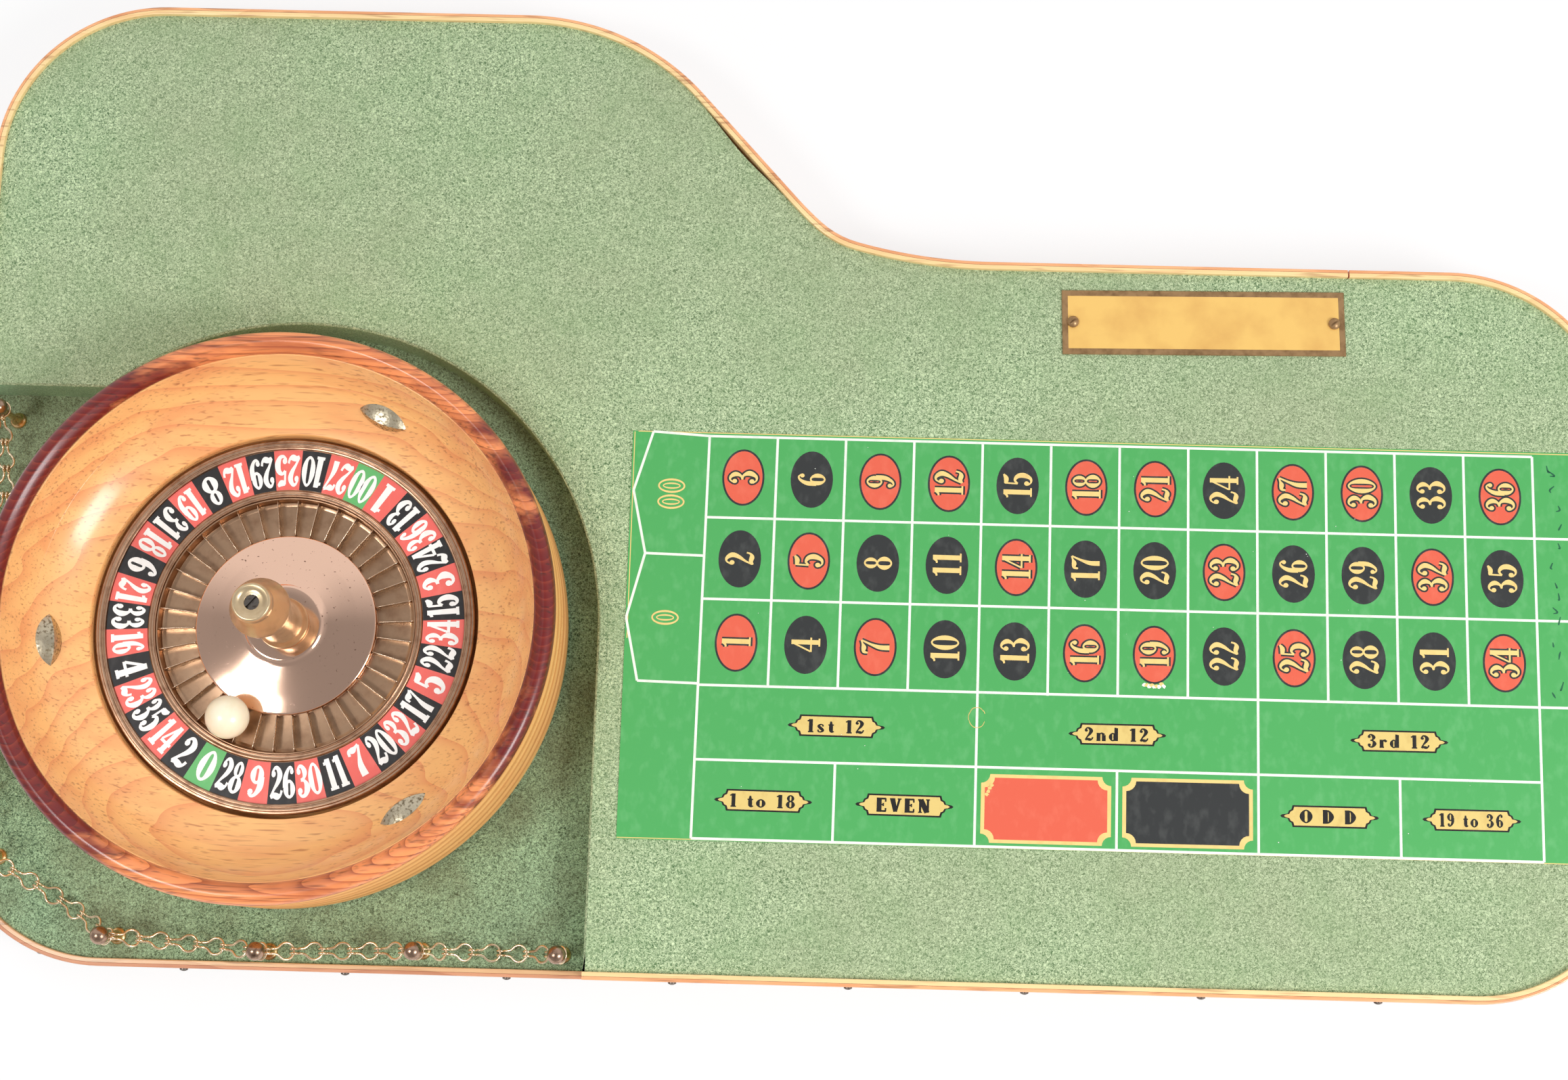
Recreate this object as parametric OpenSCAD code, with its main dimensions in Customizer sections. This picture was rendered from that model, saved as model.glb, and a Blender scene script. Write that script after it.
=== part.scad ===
// Table-top roulette set: a felted board with a plywood edge strip, a sunk corner that holds
// a turned wooden wheel, and a chain fence on brass posts. Millimetres, +Z up.
// The origin is at the middle of the board's outline, on the surface the feet stand on.
// +X runs from the wheel towards the betting layout, +Y away from the player.

/* [Table] */
// Overall length of the table over its edge strip
table_l = 764; // [730:1:800]
// Overall width of the table at its deep end
table_w = 453; // [440:1:470]
// Width of the table beside the betting layout
layout_end_w = 334.2; // [320:0.2:350]
// Radius of the four outer corners
corner_r = 77; // [60:1:85]
// Straight back edge between the deep corner and the shoulder
deep_straight = 173; // [150:1:190]
// Radius of the rounded shoulder
shoulder_r = 115; // [95:1:125]
// Slope of the shoulder's side in degrees
shoulder_angle = 48; // [42:1:54]
// Thickness of the base board
base_t = 9.5; // [6:0.5:12]
// Thickness of the deck board, which is the depth of the wheel's recess
deck_t = 19; // [15:0.5:22]
// Thickness of the felt
felt_t = 1.2; // [0.8:0.1:2]

/* [Edge strip] */
// Thickness of the bent plywood strip
strip_t = 3.6; // [3:0.1:5]
// How far the strip stands above the felt
strip_lip = 2.4; // [1.5:0.1:4]
// How far the strip springs away from the board along the shoulder
spring_gap = 1.6; // [0.5:0.1:3]
// Place of the butt joint in the back strip, from the right end of the table
joint_inset = 124; // [100:1:150]
// Open crack at the butt joint
joint_crack = 0.8; // [0.3:0.1:1.5]
// Diameter of the strip's nail heads
nail_head_d = 3.8; // [3:0.1:5]
// Spacing of the nails
nail_pitch = 74; // [65:1:85]

/* [Wheel recess] */
// Room between the bowl and the table's edge, where the fence stands
fence_room = 27.3; // [24:0.1:32]
// Gap between the bowl and the recess wall
recess_gap = 15; // [8:0.5:18]
// How much nearer the straight back step of the recess is than the back of the bowl
step_short = 17.5; // [10:0.5:25]

/* [Betting layout] */
// Margin from the sheet's right end to the end of the table
sheet_end_gap = 13.3; // [8:0.1:20]
// Width of the printed layout sheet
sheet_w = 187; // [175:1:200]
// Thickness of the printed layout sheet
sheet_t = 0.4; // [0.3:0.1:0.8]
// Gap from the recess wall to the sheet
sheet_gap = 12.5; // [8:0.5:14]
// Distance of the sheet from the front edge
sheet_front = 62; // [55:1:70]

/* [Nameplate] */
// Length of the brass plate
plate_l = 131.4; // [110:0.2:145]
// Width of the brass plate
plate_w = 30.9; // [25:0.1:36]
// Thickness of the brass plate
plate_t = 1; // [0.6:0.1:1.5]
// Distance of the plate's middle from the right end of the table
plate_right = 191.7; // [180:0.1:205]
// Distance of the plate's middle from the back edge behind it
plate_back = 27.1; // [25:0.1:32]
// Tilt of the plate in degrees
plate_tilt = 0.9; // [0:0.1:2]
// Distance between the two plate screws
plate_screw_span = 121.4; // [100:0.2:126]
// Head diameter of the plate screws
plate_screw_head_d = 5.4; // [4.5:0.1:6]

/* [Feet] */
// Height of the rubber feet
foot_h = 6; // [4:0.5:10]
// Diameter of the rubber feet
foot_d = 20; // [16:0.5:25]
// Distance of the feet from the edges
foot_inset = 45; // [38:1:55]

/* [Fence] */
// Height of the ball's centre above the recess floor
post_h = 26; // [22:0.5:30]
// Diameter of the post's neck
post_d = 3; // [2.5:0.1:3.4]
// Diameter of the post's base flange
post_flange_d = 7.6; // [6:0.1:9]
// Diameter of the ball on each post
post_ball_d = 8.2; // [7:0.1:9]
// Pitch of the chain's links
link_pitch = 12.5; // [12:0.1:13.2]
// Radius of a link's bow, at the middle of its wire
link_r = 3.65; // [3.5:0.05:3.9]
// Thickness of the chain wire
wire_d = 1.1; // [0.8:0.05:1.2]

/* [Wheel bowl] */
// Outer radius of the bowl
bowl_r = 127; // [122:0.5:128]
// Height of the bowl's light wood, up to the dark rim
bowl_h = 54; // [50:0.5:60]
// Thickness of each glued layer of the bowl
layer_t = 19; // [17:0.5:20]
// Thickness of the dark rim ring
rim_t = 6; // [4:0.5:8]
// Width of the rim ring
rim_w = 10; // [8:0.5:13]
// Radius of the rotor's opening
opening_r = 87.8; // [87.4:0.1:90]
// Height of the opening's edge above the bowl's underside
opening_h = 22.5; // [21.5:0.5:26]
// How far the track is hollowed behind a straight cone
track_hollow = 5; // [3:0.5:7]
// Height of the floor under the rotor
well_h = 9; // [8:0.5:9.5]
// Distance from the rotor's opening to the ball deflectors
deflector_in = 15.2; // [13:0.2:18]
// Length of a deflector
deflector_l = 25; // [22:0.5:28]
// Width of a deflector
deflector_w = 13; // [11:0.5:15]
// Height of a deflector's ridge
deflector_h = 4.5; // [3.5:0.5:5]
// Angle of the first deflector in degrees
deflector_turn = 66.5; // [0:0.5:119.5]

/* [Rotor] */
// Outer radius of the rotor
rotor_r = 86.2; // [85:0.1:86.6]
// Height of the rotor's top ring above the bowl's underside
rotor_top = 21; // [20.6:0.1:21.4]
// Outer radius of the number ring
number_outer_r = 81.4; // [80:0.1:82]
// Inner radius of the number ring
number_inner_r = 62.7; // [61.5:0.1:64]
// Number of pockets
pockets = 38; // [36:1:38]
// Outer radius of the pocket ring
pocket_outer_r = 59.1; // [58:0.1:60]
// Radius of the cone's edge
cone_r = 40.8; // [39:0.1:42]
// Thickness of a fret
fret_t = 0.9; // [0.7:0.1:1.2]
// Height of the frets above the pocket floor
fret_h = 5.5; // [4.5:0.1:6]
// Angle of the pocket numbered zero in degrees
zero_turn = -115.3; // [-180:0.1:180]
// Radius of the raised ring round the turret
boss_r = 18.8; // [17:0.1:20]
// Radius of the turret's base flange
turret_base_r = 11.7; // [11:0.1:13]
// Radius of the turret's collar
turret_collar_r = 13.2; // [12.2:0.1:15]
// Height of the turret
turret_h = 58; // [50:0.5:64]
// Diameter of the steel spindle
spindle_d = 9.9; // [9:0.1:10]
// Radial clearance of the spindle in its bush
spindle_clear = 0.05; // [0.02:0.01:0.09]
// Diameter of the ball
ball_d = 19.5; // [18:0.1:20.5]
// Distance of the resting ball from the axis
ball_at = 48.4; // [47:0.1:50]

/* [Hidden] */
$fn = 64;
cut = 0.5;              // how far a cutting shape runs past a face
half_l = table_l / 2;
half_w = table_w / 2;
shoulder_drop = table_w - layout_end_w;
shoulder_y = half_w - shoulder_drop;
wheel_inset = bowl_r + fence_room;
recess_r = bowl_r + recess_gap;
recess_back = bowl_r - step_short;
wheel_x = -half_l + wheel_inset;
wheel_y = -half_w + wheel_inset;
wall_x = wheel_x + recess_r;
step_y = wheel_y + recess_back;

// Heights
deck_z = foot_h + base_t;
deck_top = deck_z + deck_t + felt_t;
floor_top = deck_z + felt_t;

// The edge as a walk round the table: [radius, turn in degrees], or [0, length] where straight
bend_radii = [150, 42, 240];
bend_turns = [6, 27, shoulder_angle - 33];
bend_headings = [shoulder_angle, shoulder_angle - bend_turns[0], bend_turns[2], 0];
function sum(list, i = 0) = i < len(list) ? list[i] + sum(list, i + 1) : 0;
bend_drop = sum([for (i = [0 : 2]) bend_radii[i] * (cos(bend_headings[i + 1]) - cos(bend_headings[i]))]);
bend_run = sum([for (i = [0 : 2]) bend_radii[i] * (sin(bend_headings[i]) - sin(bend_headings[i + 1]))]);
slope_len = (shoulder_drop - shoulder_r * (1 - cos(shoulder_angle)) - bend_drop) / sin(shoulder_angle);
shoulder_end_x = -half_l + corner_r + deep_straight + shoulder_r * sin(shoulder_angle)
    + slope_len * cos(shoulder_angle) + bend_run;
joint_x = half_l - joint_inset;
slope_segment = 4;
edge_segments = [
    [0, half_w - corner_r - step_y],
    [corner_r, -90],
    [0, deep_straight],
    [shoulder_r, -shoulder_angle],
    [0, slope_len],
    [bend_radii[0], bend_turns[0]],
    [bend_radii[1], bend_turns[1]],
    [bend_radii[2], bend_turns[2]],
    [0, joint_x - joint_crack / 2 - shoulder_end_x],
    [0, joint_crack],
    [0, half_l - corner_r - joint_x - joint_crack / 2],
    [corner_r, -90],
    [0, shoulder_y + half_w - 2 * corner_r],
    [corner_r, -90],
    [0, half_l - corner_r - wall_x],
    [0, wall_x + half_l - corner_r],
    [corner_r, -90],
    [0, step_y + half_w - corner_r]
];
back_run = [0, 8];
front_run = [10, 14];
recess_run = [15, 17];
function left_of(h) = [-sin(h), cos(h)];
function segment_end(st, sg) =
    let (p = [st[0], st[1]], h = st[2], k = sign(sg[1]),
         q = sg[0] == 0 ? p + sg[1] * [cos(h), sin(h)]
                        : p + k * sg[0] * (left_of(h) - left_of(h + sg[1])))
    [q[0], q[1], sg[0] == 0 ? h : h + sg[1]];
segment_starts = [
    for (i = 0, st = [-half_l, step_y, 90]; i < len(edge_segments);
         st = segment_end(st, edge_segments[i]), i = i + 1) st
];
function edge_heading(i, f) = segment_starts[i][2] + (edge_segments[i][0] == 0 ? 0 : f * edge_segments[i][1]);
function edge_point(i, f, inset) =
    let (st = segment_starts[i], sg = edge_segments[i], h = st[2], h2 = edge_heading(i, f))
    [st[0], st[1]]
    + (sg[0] == 0 ? f * sg[1] * [cos(h), sin(h)] : sign(sg[1]) * sg[0] * (left_of(h) - left_of(h2)))
    - inset * left_of(h2);
function segment_steps(i) =
    edge_segments[i][0] > 0 ? max(3, ceil(abs(edge_segments[i][1]) * sqrt(edge_segments[i][0]) / 34))
                            : i == slope_segment ? 12 : 1;
function sprung(i, f) = i == slope_segment ? spring_gap * pow(sin(180 * f), 2) : 0;
function edge_run(run, inset) = [
    for (i = [run[0] : run[1]]) for (j = [i == run[0] ? 0 : 1 : segment_steps(i)])
        edge_point(i, j / segment_steps(i), inset)
];
function board_points(inset) = [
    for (i = [0 : len(edge_segments) - 1]) for (j = [1 : segment_steps(i)])
        edge_point(i, j / segment_steps(i), inset + sprung(i, j / segment_steps(i)))
];
function reversed(list) = [for (i = [len(list) - 1 : -1 : 0]) list[i]];

// Nails: one at an even spacing along each segment of a run
nail_head_t = 1.2;
nail_shank_d = 1.8;
nail_depth = 10;
nail_seat = 0.1;        // the heads stand off the strip by this
deck_nail_z = deck_z + deck_t / 2;
base_nail_z = foot_h + base_t / 2;
recess_nail_gap = 8;    // keeps the nails clear of the posts
function segment_length(i) =
    edge_segments[i][0] == 0 ? edge_segments[i][1] : edge_segments[i][0] * abs(edge_segments[i][1]) * PI / 180;
function run_nails(run) = [
    for (i = [run[0] : run[1]])
        let (n = round(segment_length(i) / nail_pitch))
        if (n > 0) for (j = [0 : n - 1]) [i, (j + 0.5) / n]
];
deck_nails = concat(run_nails(back_run), run_nails(front_run));
recess_nails = run_nails(recess_run);

// Screws that hold the deck board down, driven up through the base
screw_d = 3.6;
screw_head_d = 7.2;
screw_inset = 30;       // from the edges of the deck board
screw_bite = 11;        // how far the screws reach into the deck board
screw_len = base_t + screw_bite;
front_screw_run = half_l - corner_r - wall_x - screw_inset;
back_screw_run = half_l - corner_r - shoulder_end_x;
deep_screw_run = deep_straight;
screw_rows = [
    for (f = [0 : 1 / 3 : 1]) [wall_x + screw_inset + f * front_screw_run, -half_w + screw_inset],
    for (f = [0 : 0.5 : 1]) [shoulder_end_x + f * back_screw_run, shoulder_y - screw_inset],
    for (f = [0 : 0.5 : 1]) [-half_l + corner_r + f * deep_screw_run, half_w - 2 * screw_inset]
];

// Feet
foot_screw_d = 3.4;
foot_screw_head_d = 7.4;
foot_screw_len = 7.5;
foot_points = [
    [-half_l + foot_inset, half_w - foot_inset],
    [-half_l + corner_r + deep_straight, half_w - foot_inset],
    [half_l - foot_inset, shoulder_y - foot_inset],
    [half_l - foot_inset, -half_w + foot_inset],
    [0, -half_w + foot_inset],
    [-half_l + foot_inset, -half_w + foot_inset]
];

// Posts: distance from the recess wall or from the step, and distance in from the edge
front_posts = [[11, 10.5], [74, 10.5], [143, 8.5], [212, 13.5]];
side_posts = [[216.5, 27], [148.5, 16], [80.5, 16], [12.5, 16]];
posts = concat(
    [for (p = front_posts) [wall_x - p[0], -half_w + p[1]]],
    [for (p = side_posts) [-half_l + p[1], step_y - p[0]]]
);
post_tenon = 7;
post_flange_t = 1.6;
hang_drop = 4.7;        // the crown of the link at a post hangs this far under the ball's centre
hang_z = floor_top + post_h - hang_drop;
eye_half_w = 1.25;
eye_ease = 0.64;        // lets a link hook its neighbour's curved wire, also where the fence turns
eye_r = link_r - sqrt(pow(link_r - wire_d / 2, 2) - pow(eye_half_w, 2)) + eye_ease;
eye_t = 0.7;
eye_wall = 0.5;
leg_y = 0.9;
link_slack = 1.07;
function link_count(span) = ceil(span * link_slack / link_pitch);
function link_slope(k, n, i) = atan(k * (i - (n - 1) / 2));
function chain_reach(k, n) = sum([for (i = [0 : n - 1]) link_pitch * cos(link_slope(k, n, i))]);
function sag_rate(span, n, lo = 0, hi = 3, tries = 24) =
    let (mid = (lo + hi) / 2)
    tries == 0 ? mid : chain_reach(mid, n) > span ? sag_rate(span, n, mid, hi, tries - 1)
                                                  : sag_rate(span, n, lo, mid, tries - 1);

// Bowl and rotor profiles, as [radius, height above the bowl's underside]
wheel_z = floor_top;
rim_inner_r = bowl_r - rim_w;
deflector_at = opening_r + deflector_in;
track_points = [
    for (f = [0 : 0.125 : 1])
        [opening_r + f * (rim_inner_r - opening_r) + 4 * f * (1 - f) * track_hollow * 0.73,
         opening_h + f * (bowl_h - opening_h) - 4 * f * (1 - f) * track_hollow * 0.68]
];
rotor_under = well_h + 1.3;
rotor_plate_h = 12.6;
ring_drop = 1.4;        // the number ring lies this far below the outer ring
number_t = 0.5;
pocket_floor = rotor_top - ring_drop - 0.6 - fret_h;
fret_top = pocket_floor + fret_h;
cone_edge_h = fret_top - 0.4;
cone_top_h = cone_edge_h + 5;
fret_gap = 0.5;         // between the cone's edge and the ends of the frets
sheet_metal = 0.8;
hub_r = 8.6;
hub_top = cone_top_h + 10;
bush_r = 7;
bush_bottom = rotor_plate_h - 0.6;
spindle_r = spindle_d / 2;
spindle_top = cone_top_h - 1;
spindle_plate_r = 18;
spindle_plate_t = 1.8;
thrust_d = 5;
turret_base_h = cone_top_h;
turret_top_h = turret_base_h + turret_h;
turret_screw_d = 4;
turret_screw_head_d = 6.4;
turret_screw_head_h = 2.4;
cup_depth = 3.2;
ball_gap = 0.3;
fret_half_gap = ball_at * sin(180 / pockets) - fret_t / 2;
ball_h = fret_top + sqrt(pow(ball_d / 2 + ball_gap, 2) - pow(fret_half_gap, 2));

module at_wheel() {
    translate([wheel_x, wheel_y, wheel_z]) children();
}

module recess_shape(grow = 0) {
    reach = recess_r + grow;
    translate([wheel_x, wheel_y]) circle(r = reach, $fn = 128);
    translate([-half_l - cut, -half_w - cut]) square([wall_x + grow + half_l + cut, wheel_y + half_w + cut]);
    translate([-half_l - cut, wheel_y - cut]) square([wheel_x + half_l + cut, recess_back + grow + cut]);
}

module board_shape() {
    polygon(board_points(strip_t));
}

module drill(points, z, d, depth) {
    for (p = points) translate([p[0], p[1], z]) cylinder(d = d, h = depth, $fn = 24);
}

module nail_holes(nails, z, inset) {
    for (n = nails)
        translate(concat(edge_point(n[0], n[1], inset - cut), z))
            rotate([0, 90, edge_heading(n[0], n[1]) - 90])
                cylinder(d = nail_shank_d, h = nail_depth + cut, $fn = 16);
}

module base_board() {
    color("burlywood") difference() {
        translate([0, 0, foot_h]) linear_extrude(base_t) board_shape();
        drill(screw_rows, foot_h - cut, screw_d, base_t + 2 * cut);
        for (p = screw_rows)
            translate([p[0], p[1], foot_h])
                cylinder(d1 = screw_head_d, d2 = screw_d, h = (screw_head_d - screw_d) / 2, $fn = 32);
        drill(foot_points, foot_h - cut, foot_screw_d, foot_screw_len + cut);
        drill(posts, deck_z - post_tenon, post_d, post_tenon + cut);
        nail_holes(recess_nails, base_nail_z, strip_t);
    }
}

module deck_board() {
    color("tan") difference() {
        translate([0, 0, deck_z]) linear_extrude(deck_t) difference() {
            board_shape();
            recess_shape(felt_t);
        }
        drill(screw_rows, deck_z - cut, screw_d, screw_len - base_t + cut);
        drill(plate_screw_points(), deck_top - felt_t - plate_screw_len, plate_screw_d, plate_screw_len + cut);
        nail_holes(deck_nails, deck_nail_z, strip_t);
    }
}

module deck_felt() {
    color("seagreen") translate([0, 0, deck_top - felt_t]) linear_extrude(felt_t) difference() {
        board_shape();
        recess_shape();
        for (p = plate_screw_points()) translate(p) circle(d = plate_screw_d, $fn = 24);
    }
}

module recess_wall_felt() {
    color("mediumseagreen") translate([0, 0, floor_top]) linear_extrude(deck_t - felt_t) intersection() {
        board_shape();
        difference() {
            recess_shape(felt_t);
            recess_shape();
        }
    }
}

module recess_floor_felt() {
    color("darkolivegreen") translate([0, 0, deck_z]) linear_extrude(felt_t) difference() {
        intersection() {
            board_shape();
            recess_shape(felt_t);
        }
        for (p = posts) translate(p) circle(d = post_d, $fn = 24);
    }
}

module edge_strip(run, top, nails, nail_z) {
    color("sandybrown") difference() {
        translate([0, 0, foot_h]) linear_extrude(top + strip_lip - foot_h)
            polygon(concat(edge_run(run, 0), reversed(edge_run(run, strip_t))));
        nail_holes(nails, nail_z, 0);
    }
}
module edge_strip_back() {
    edge_strip(back_run, deck_top, run_nails(back_run), deck_nail_z);
}
module edge_strip_front() {
    edge_strip(front_run, deck_top, run_nails(front_run), deck_nail_z);
}
module edge_strip_recess() {
    edge_strip(recess_run, floor_top, recess_nails, base_nail_z);
}

module edge_nail() {
    translate([0, 0, -nail_seat - nail_head_t / 2]) cylinder(d = nail_shank_d, h = nail_depth, $fn = 16);
    translate([0, 0, -nail_seat]) rotate([180, 0, 0]) intersection() {
        cylinder(d = nail_head_d, h = nail_head_t, $fn = 24);
        translate([0, 0, nail_head_t - nail_head_d * 0.75]) sphere(r = nail_head_d * 0.75, $fn = 32);
    }
}
module nails_along(nails, z) {
    for (n = nails)
        translate(concat(edge_point(n[0], n[1], 0), z)) rotate([0, 90, edge_heading(n[0], n[1]) - 90]) edge_nail();
}
module edge_nails() {
    color("dimgray") {
        nails_along(deck_nails, deck_nail_z);
        nails_along(recess_nails, base_nail_z);
    }
}

module deck_screws() {
    color("gray") for (p = screw_rows) translate([p[0], p[1], foot_h]) {
        cylinder(d = screw_d, h = screw_len, $fn = 24);
        difference() {
            cylinder(d1 = screw_head_d, d2 = screw_d, h = (screw_head_d - screw_d) / 2, $fn = 32);
            translate([-screw_head_d, -0.4, -cut]) cube([2 * screw_head_d, 0.8, cut + 0.8]);
        }
    }
}

module rubber_feet() {
    color("black") for (p = foot_points) translate(p) difference() {
        cylinder(d1 = foot_d - 2, d2 = foot_d, h = foot_h, $fn = 48);
        translate([0, 0, -cut]) cylinder(d = foot_screw_head_d + 1, h = foot_h / 2 + cut, $fn = 32);
        cylinder(d = foot_screw_d, h = foot_h + cut, $fn = 24);
    }
}

module foot_screws() {
    color("silver") for (p = foot_points) translate([p[0], p[1], foot_h / 2]) difference() {
        union() {
            cylinder(d = foot_screw_d, h = foot_h / 2 + foot_screw_len, $fn = 24);
            translate([0, 0, -1.8]) cylinder(d1 = foot_screw_head_d - 2, d2 = foot_screw_head_d, h = 1.8, $fn = 32);
        }
        translate([-foot_screw_head_d, -0.5, -1.8 - cut]) cube([2 * foot_screw_head_d, 1, cut + 0.9]);
    }
}

module layout_sheet() {
    color("limegreen") translate([wall_x + sheet_gap, -half_w + sheet_front, deck_top])
        cube([half_l - sheet_end_gap - wall_x - sheet_gap, sheet_w, sheet_t]);
}

// Nameplate
plate_x = half_l - plate_right;
plate_y = shoulder_y - plate_back;
plate_screw_d = 2.4;
plate_screw_len = 9;
function plate_screw_points() = [
    for (k = [-1, 1]) [plate_x, plate_y] + k * plate_screw_span / 2 * [cos(plate_tilt), sin(plate_tilt)]
];
module nameplate() {
    color("goldenrod") difference() {
        translate([plate_x, plate_y, deck_top]) rotate(plate_tilt) translate([-plate_l / 2, -plate_w / 2])
            cube([plate_l, plate_w, plate_t]);
        drill(plate_screw_points(), deck_top - cut, plate_screw_d, plate_t + 2 * cut);
    }
}
module nameplate_screws() {
    color("darkgoldenrod") for (p = plate_screw_points()) translate([p[0], p[1], deck_top + plate_t]) {
        translate([0, 0, -plate_t - felt_t - plate_screw_len]) cylinder(d = plate_screw_d, h = plate_t + felt_t + plate_screw_len, $fn = 24);
        difference() {
            intersection() {
                cylinder(d = plate_screw_head_d, h = 2.2, $fn = 48);
                translate([0, 0, 2.2 - plate_screw_head_d * 0.62]) sphere(r = plate_screw_head_d * 0.62, $fn = 48);
            }
            rotate(35) translate([-plate_screw_head_d, -0.4, 1.2]) cube([2 * plate_screw_head_d, 0.8, 2]);
        }
    }
}

module fence_posts() {
    ball_seat = post_h - post_ball_d / 2;
    color("goldenrod") for (p = posts) translate([p[0], p[1], floor_top]) rotate_extrude($fn = 48) polygon([
        [0, -felt_t - post_tenon], [post_d / 2, -felt_t - post_tenon], [post_d / 2, 0],
        [post_flange_d / 2, 0], [post_flange_d / 2, post_flange_t / 2], [post_flange_d / 2 - 1, post_flange_t],
        [post_d / 2 + 0.7, post_flange_t + 0.8], [post_d / 2, post_flange_t + 3], [post_d / 2, ball_seat - 1],
        [post_d / 2 - 0.5, ball_seat], [post_d / 2 - 0.5, post_h], [0, post_h]
    ]);
}

module fence_balls() {
    color("saddlebrown") for (p = posts) translate([p[0], p[1], floor_top + post_h]) difference() {
        sphere(d = post_ball_d, $fn = 48);
        translate([0, 0, -post_ball_d]) cylinder(d = post_d - 1, h = post_ball_d, $fn = 24);
        translate([0, 0, -post_ball_d]) cylinder(d = post_d + 0.2, h = post_ball_d / 2 + 0.3, $fn = 24);
    }
}

// One omega link lying along +X: its eyes turn on the crown of the link before it
module chain_link() {
    bow_x = link_pitch - link_r;
    open = 42;
    neck_x = bow_x - link_r * cos(open);
    neck_y = link_r * sin(open);
    leg_end = neck_x - 2.2;
    w = wire_d / 2;
    translate([0, 0, -w]) linear_extrude(wire_d) {
        translate([bow_x, 0]) difference() {
            circle(r = link_r + w, $fn = 48);
            circle(r = link_r - w, $fn = 48);
            polygon([[0, 0], 9 * [-cos(open), sin(open)], 9 * [-cos(open), -sin(open)]]);
        }
        for (k = [-1, 1]) {
            polygon([[neck_x - w * cos(open) - 0.1, k * (neck_y + w * sin(open))],
                     [neck_x + w * cos(open) + 0.1, k * (neck_y - w * sin(open))],
                     [leg_end, k * (leg_y - eye_t / 2)], [leg_end, k * (leg_y + eye_t / 2 + 0.3)]]);
            polygon([[leg_end + 0.1, k * (leg_y - eye_t / 2)], [eye_r + 0.1, k * (leg_y - eye_t / 2)],
                     [eye_r + 0.1, k * (leg_y + eye_t / 2)], [leg_end + 0.1, k * (leg_y + eye_t / 2 + 0.3)]]);
        }
    }
    for (k = [-1, 1]) translate([0, k * leg_y, 0]) rotate([90, 0, 0]) difference() {
        cylinder(r = eye_r + eye_wall, h = eye_t, center = true, $fn = 32);
        cylinder(r = eye_r, h = 2 * eye_t, center = true, $fn = 32);
    }
}

// Spans are counted from the post at the step round to the post at the recess wall
function span_start(k) = posts[len(posts) - k];
function span_run(k) = span_start(k + 1) - span_start(k);
function span_rate(k) = sag_rate(norm(span_run(k)), link_count(norm(span_run(k))));
function end_slope(k) = link_slope(span_rate(k), link_count(norm(span_run(k))), link_count(norm(span_run(k))) - 1);
// Where the fence turns, the next span hooks a lower point of the tilted link round the post
function turn_cos(k) = span_run(k - 1) * span_run(k) / (norm(span_run(k - 1)) * norm(span_run(k)));
function span_drop(k) = k == 1 ? 0 : span_drop(k - 1) + link_r * sin(end_slope(k - 1)) * (1 - turn_cos(k));
// and leans with that link's wire, less and less from link to link
function span_roll(k) = k == 1 ? 0 : -asin(sqrt(max(0, 1 - pow(turn_cos(k), 2))) * sin(end_slope(k - 1)));

module chain_span(k) {
    run = span_run(k);
    n = link_count(norm(run));
    rate = span_rate(k);
    slopes = [for (i = [0 : n - 1]) link_slope(rate, n, i)];
    starts = [
        for (i = 0, p = [0, 0]; i < n; p = p + link_pitch * [cos(slopes[i]), sin(slopes[i])], i = i + 1) p
    ];
    color("peru") translate(concat(span_start(k), hang_z - span_drop(k))) rotate(atan2(run[1], run[0]))
        for (i = [0 : n - 1])
            translate([link_r + starts[i][0], 0, starts[i][1]])
                rotate([0, -slopes[i], 0])
                    rotate([span_roll(k) * (1 - i / (n - 1)), 0, 0]) chain_link();
}
module chain_end_ring() {
    last = posts[len(posts) - 1];
    color("peru") translate([last[0], last[1], hang_z - wire_d / 2]) difference() {
        cylinder(r = link_r + wire_d / 2, h = wire_d, $fn = 48);
        translate([0, 0, -cut]) cylinder(r = link_r - wire_d / 2, h = wire_d + 2 * cut, $fn = 48);
    }
}
module chain_span_1() chain_span(1);
module chain_span_2() chain_span(2);
module chain_span_3() chain_span(3);
module chain_span_4() chain_span(4);
module chain_span_5() chain_span(5);
module chain_span_6() chain_span(6);
module chain_span_7() chain_span(7);

// The whole bowl's section, which the layers cut apart
module bowl_section() {
    polygon(concat(
        [[0, 0], [bowl_r - 2, 0], [bowl_r, 2], [bowl_r, bowl_h]],
        reversed(track_points),
        [[opening_r, well_h], [0, well_h]]
    ));
}
module bowl_layer(low, high) {
    rotate_extrude($fn = 128) intersection() {
        bowl_section();
        translate([0, low]) square([bowl_r + cut, high - low]);
    }
}
module spindle_screw_holes(d) {
    for (a = [0 : 120 : 240]) rotate(a) translate([spindle_plate_r - 5, 0]) children();
}
module bowl_base() {
    color("orange") at_wheel() difference() {
        bowl_layer(0, layer_t);
        spindle_screw_holes() translate([0, 0, well_h - spindle_screw_len]) cylinder(d = spindle_screw_d, h = spindle_screw_len + cut, $fn = 24);
    }
}
module bowl_middle() {
    color("sandybrown") at_wheel() bowl_layer(layer_t, 2 * layer_t);
}
module bowl_upper() {
    color("orange") at_wheel() bowl_layer(2 * layer_t, bowl_h);
}
module rim_ring() {
    color("brown") at_wheel() rotate_extrude($fn = 128) polygon([
        [rim_inner_r, bowl_h], [bowl_r, bowl_h], [bowl_r + 0.2, bowl_h + 0.25 * rim_t],
        [bowl_r - 0.3, bowl_h + 0.6 * rim_t], [bowl_r - 1.6, bowl_h + 0.85 * rim_t],
        [bowl_r - 3.6, bowl_h + rim_t], [bowl_r - 5.4, bowl_h + rim_t],
        [rim_inner_r + 1.6, bowl_h + 0.55 * rim_t]
    ]);
}

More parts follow.
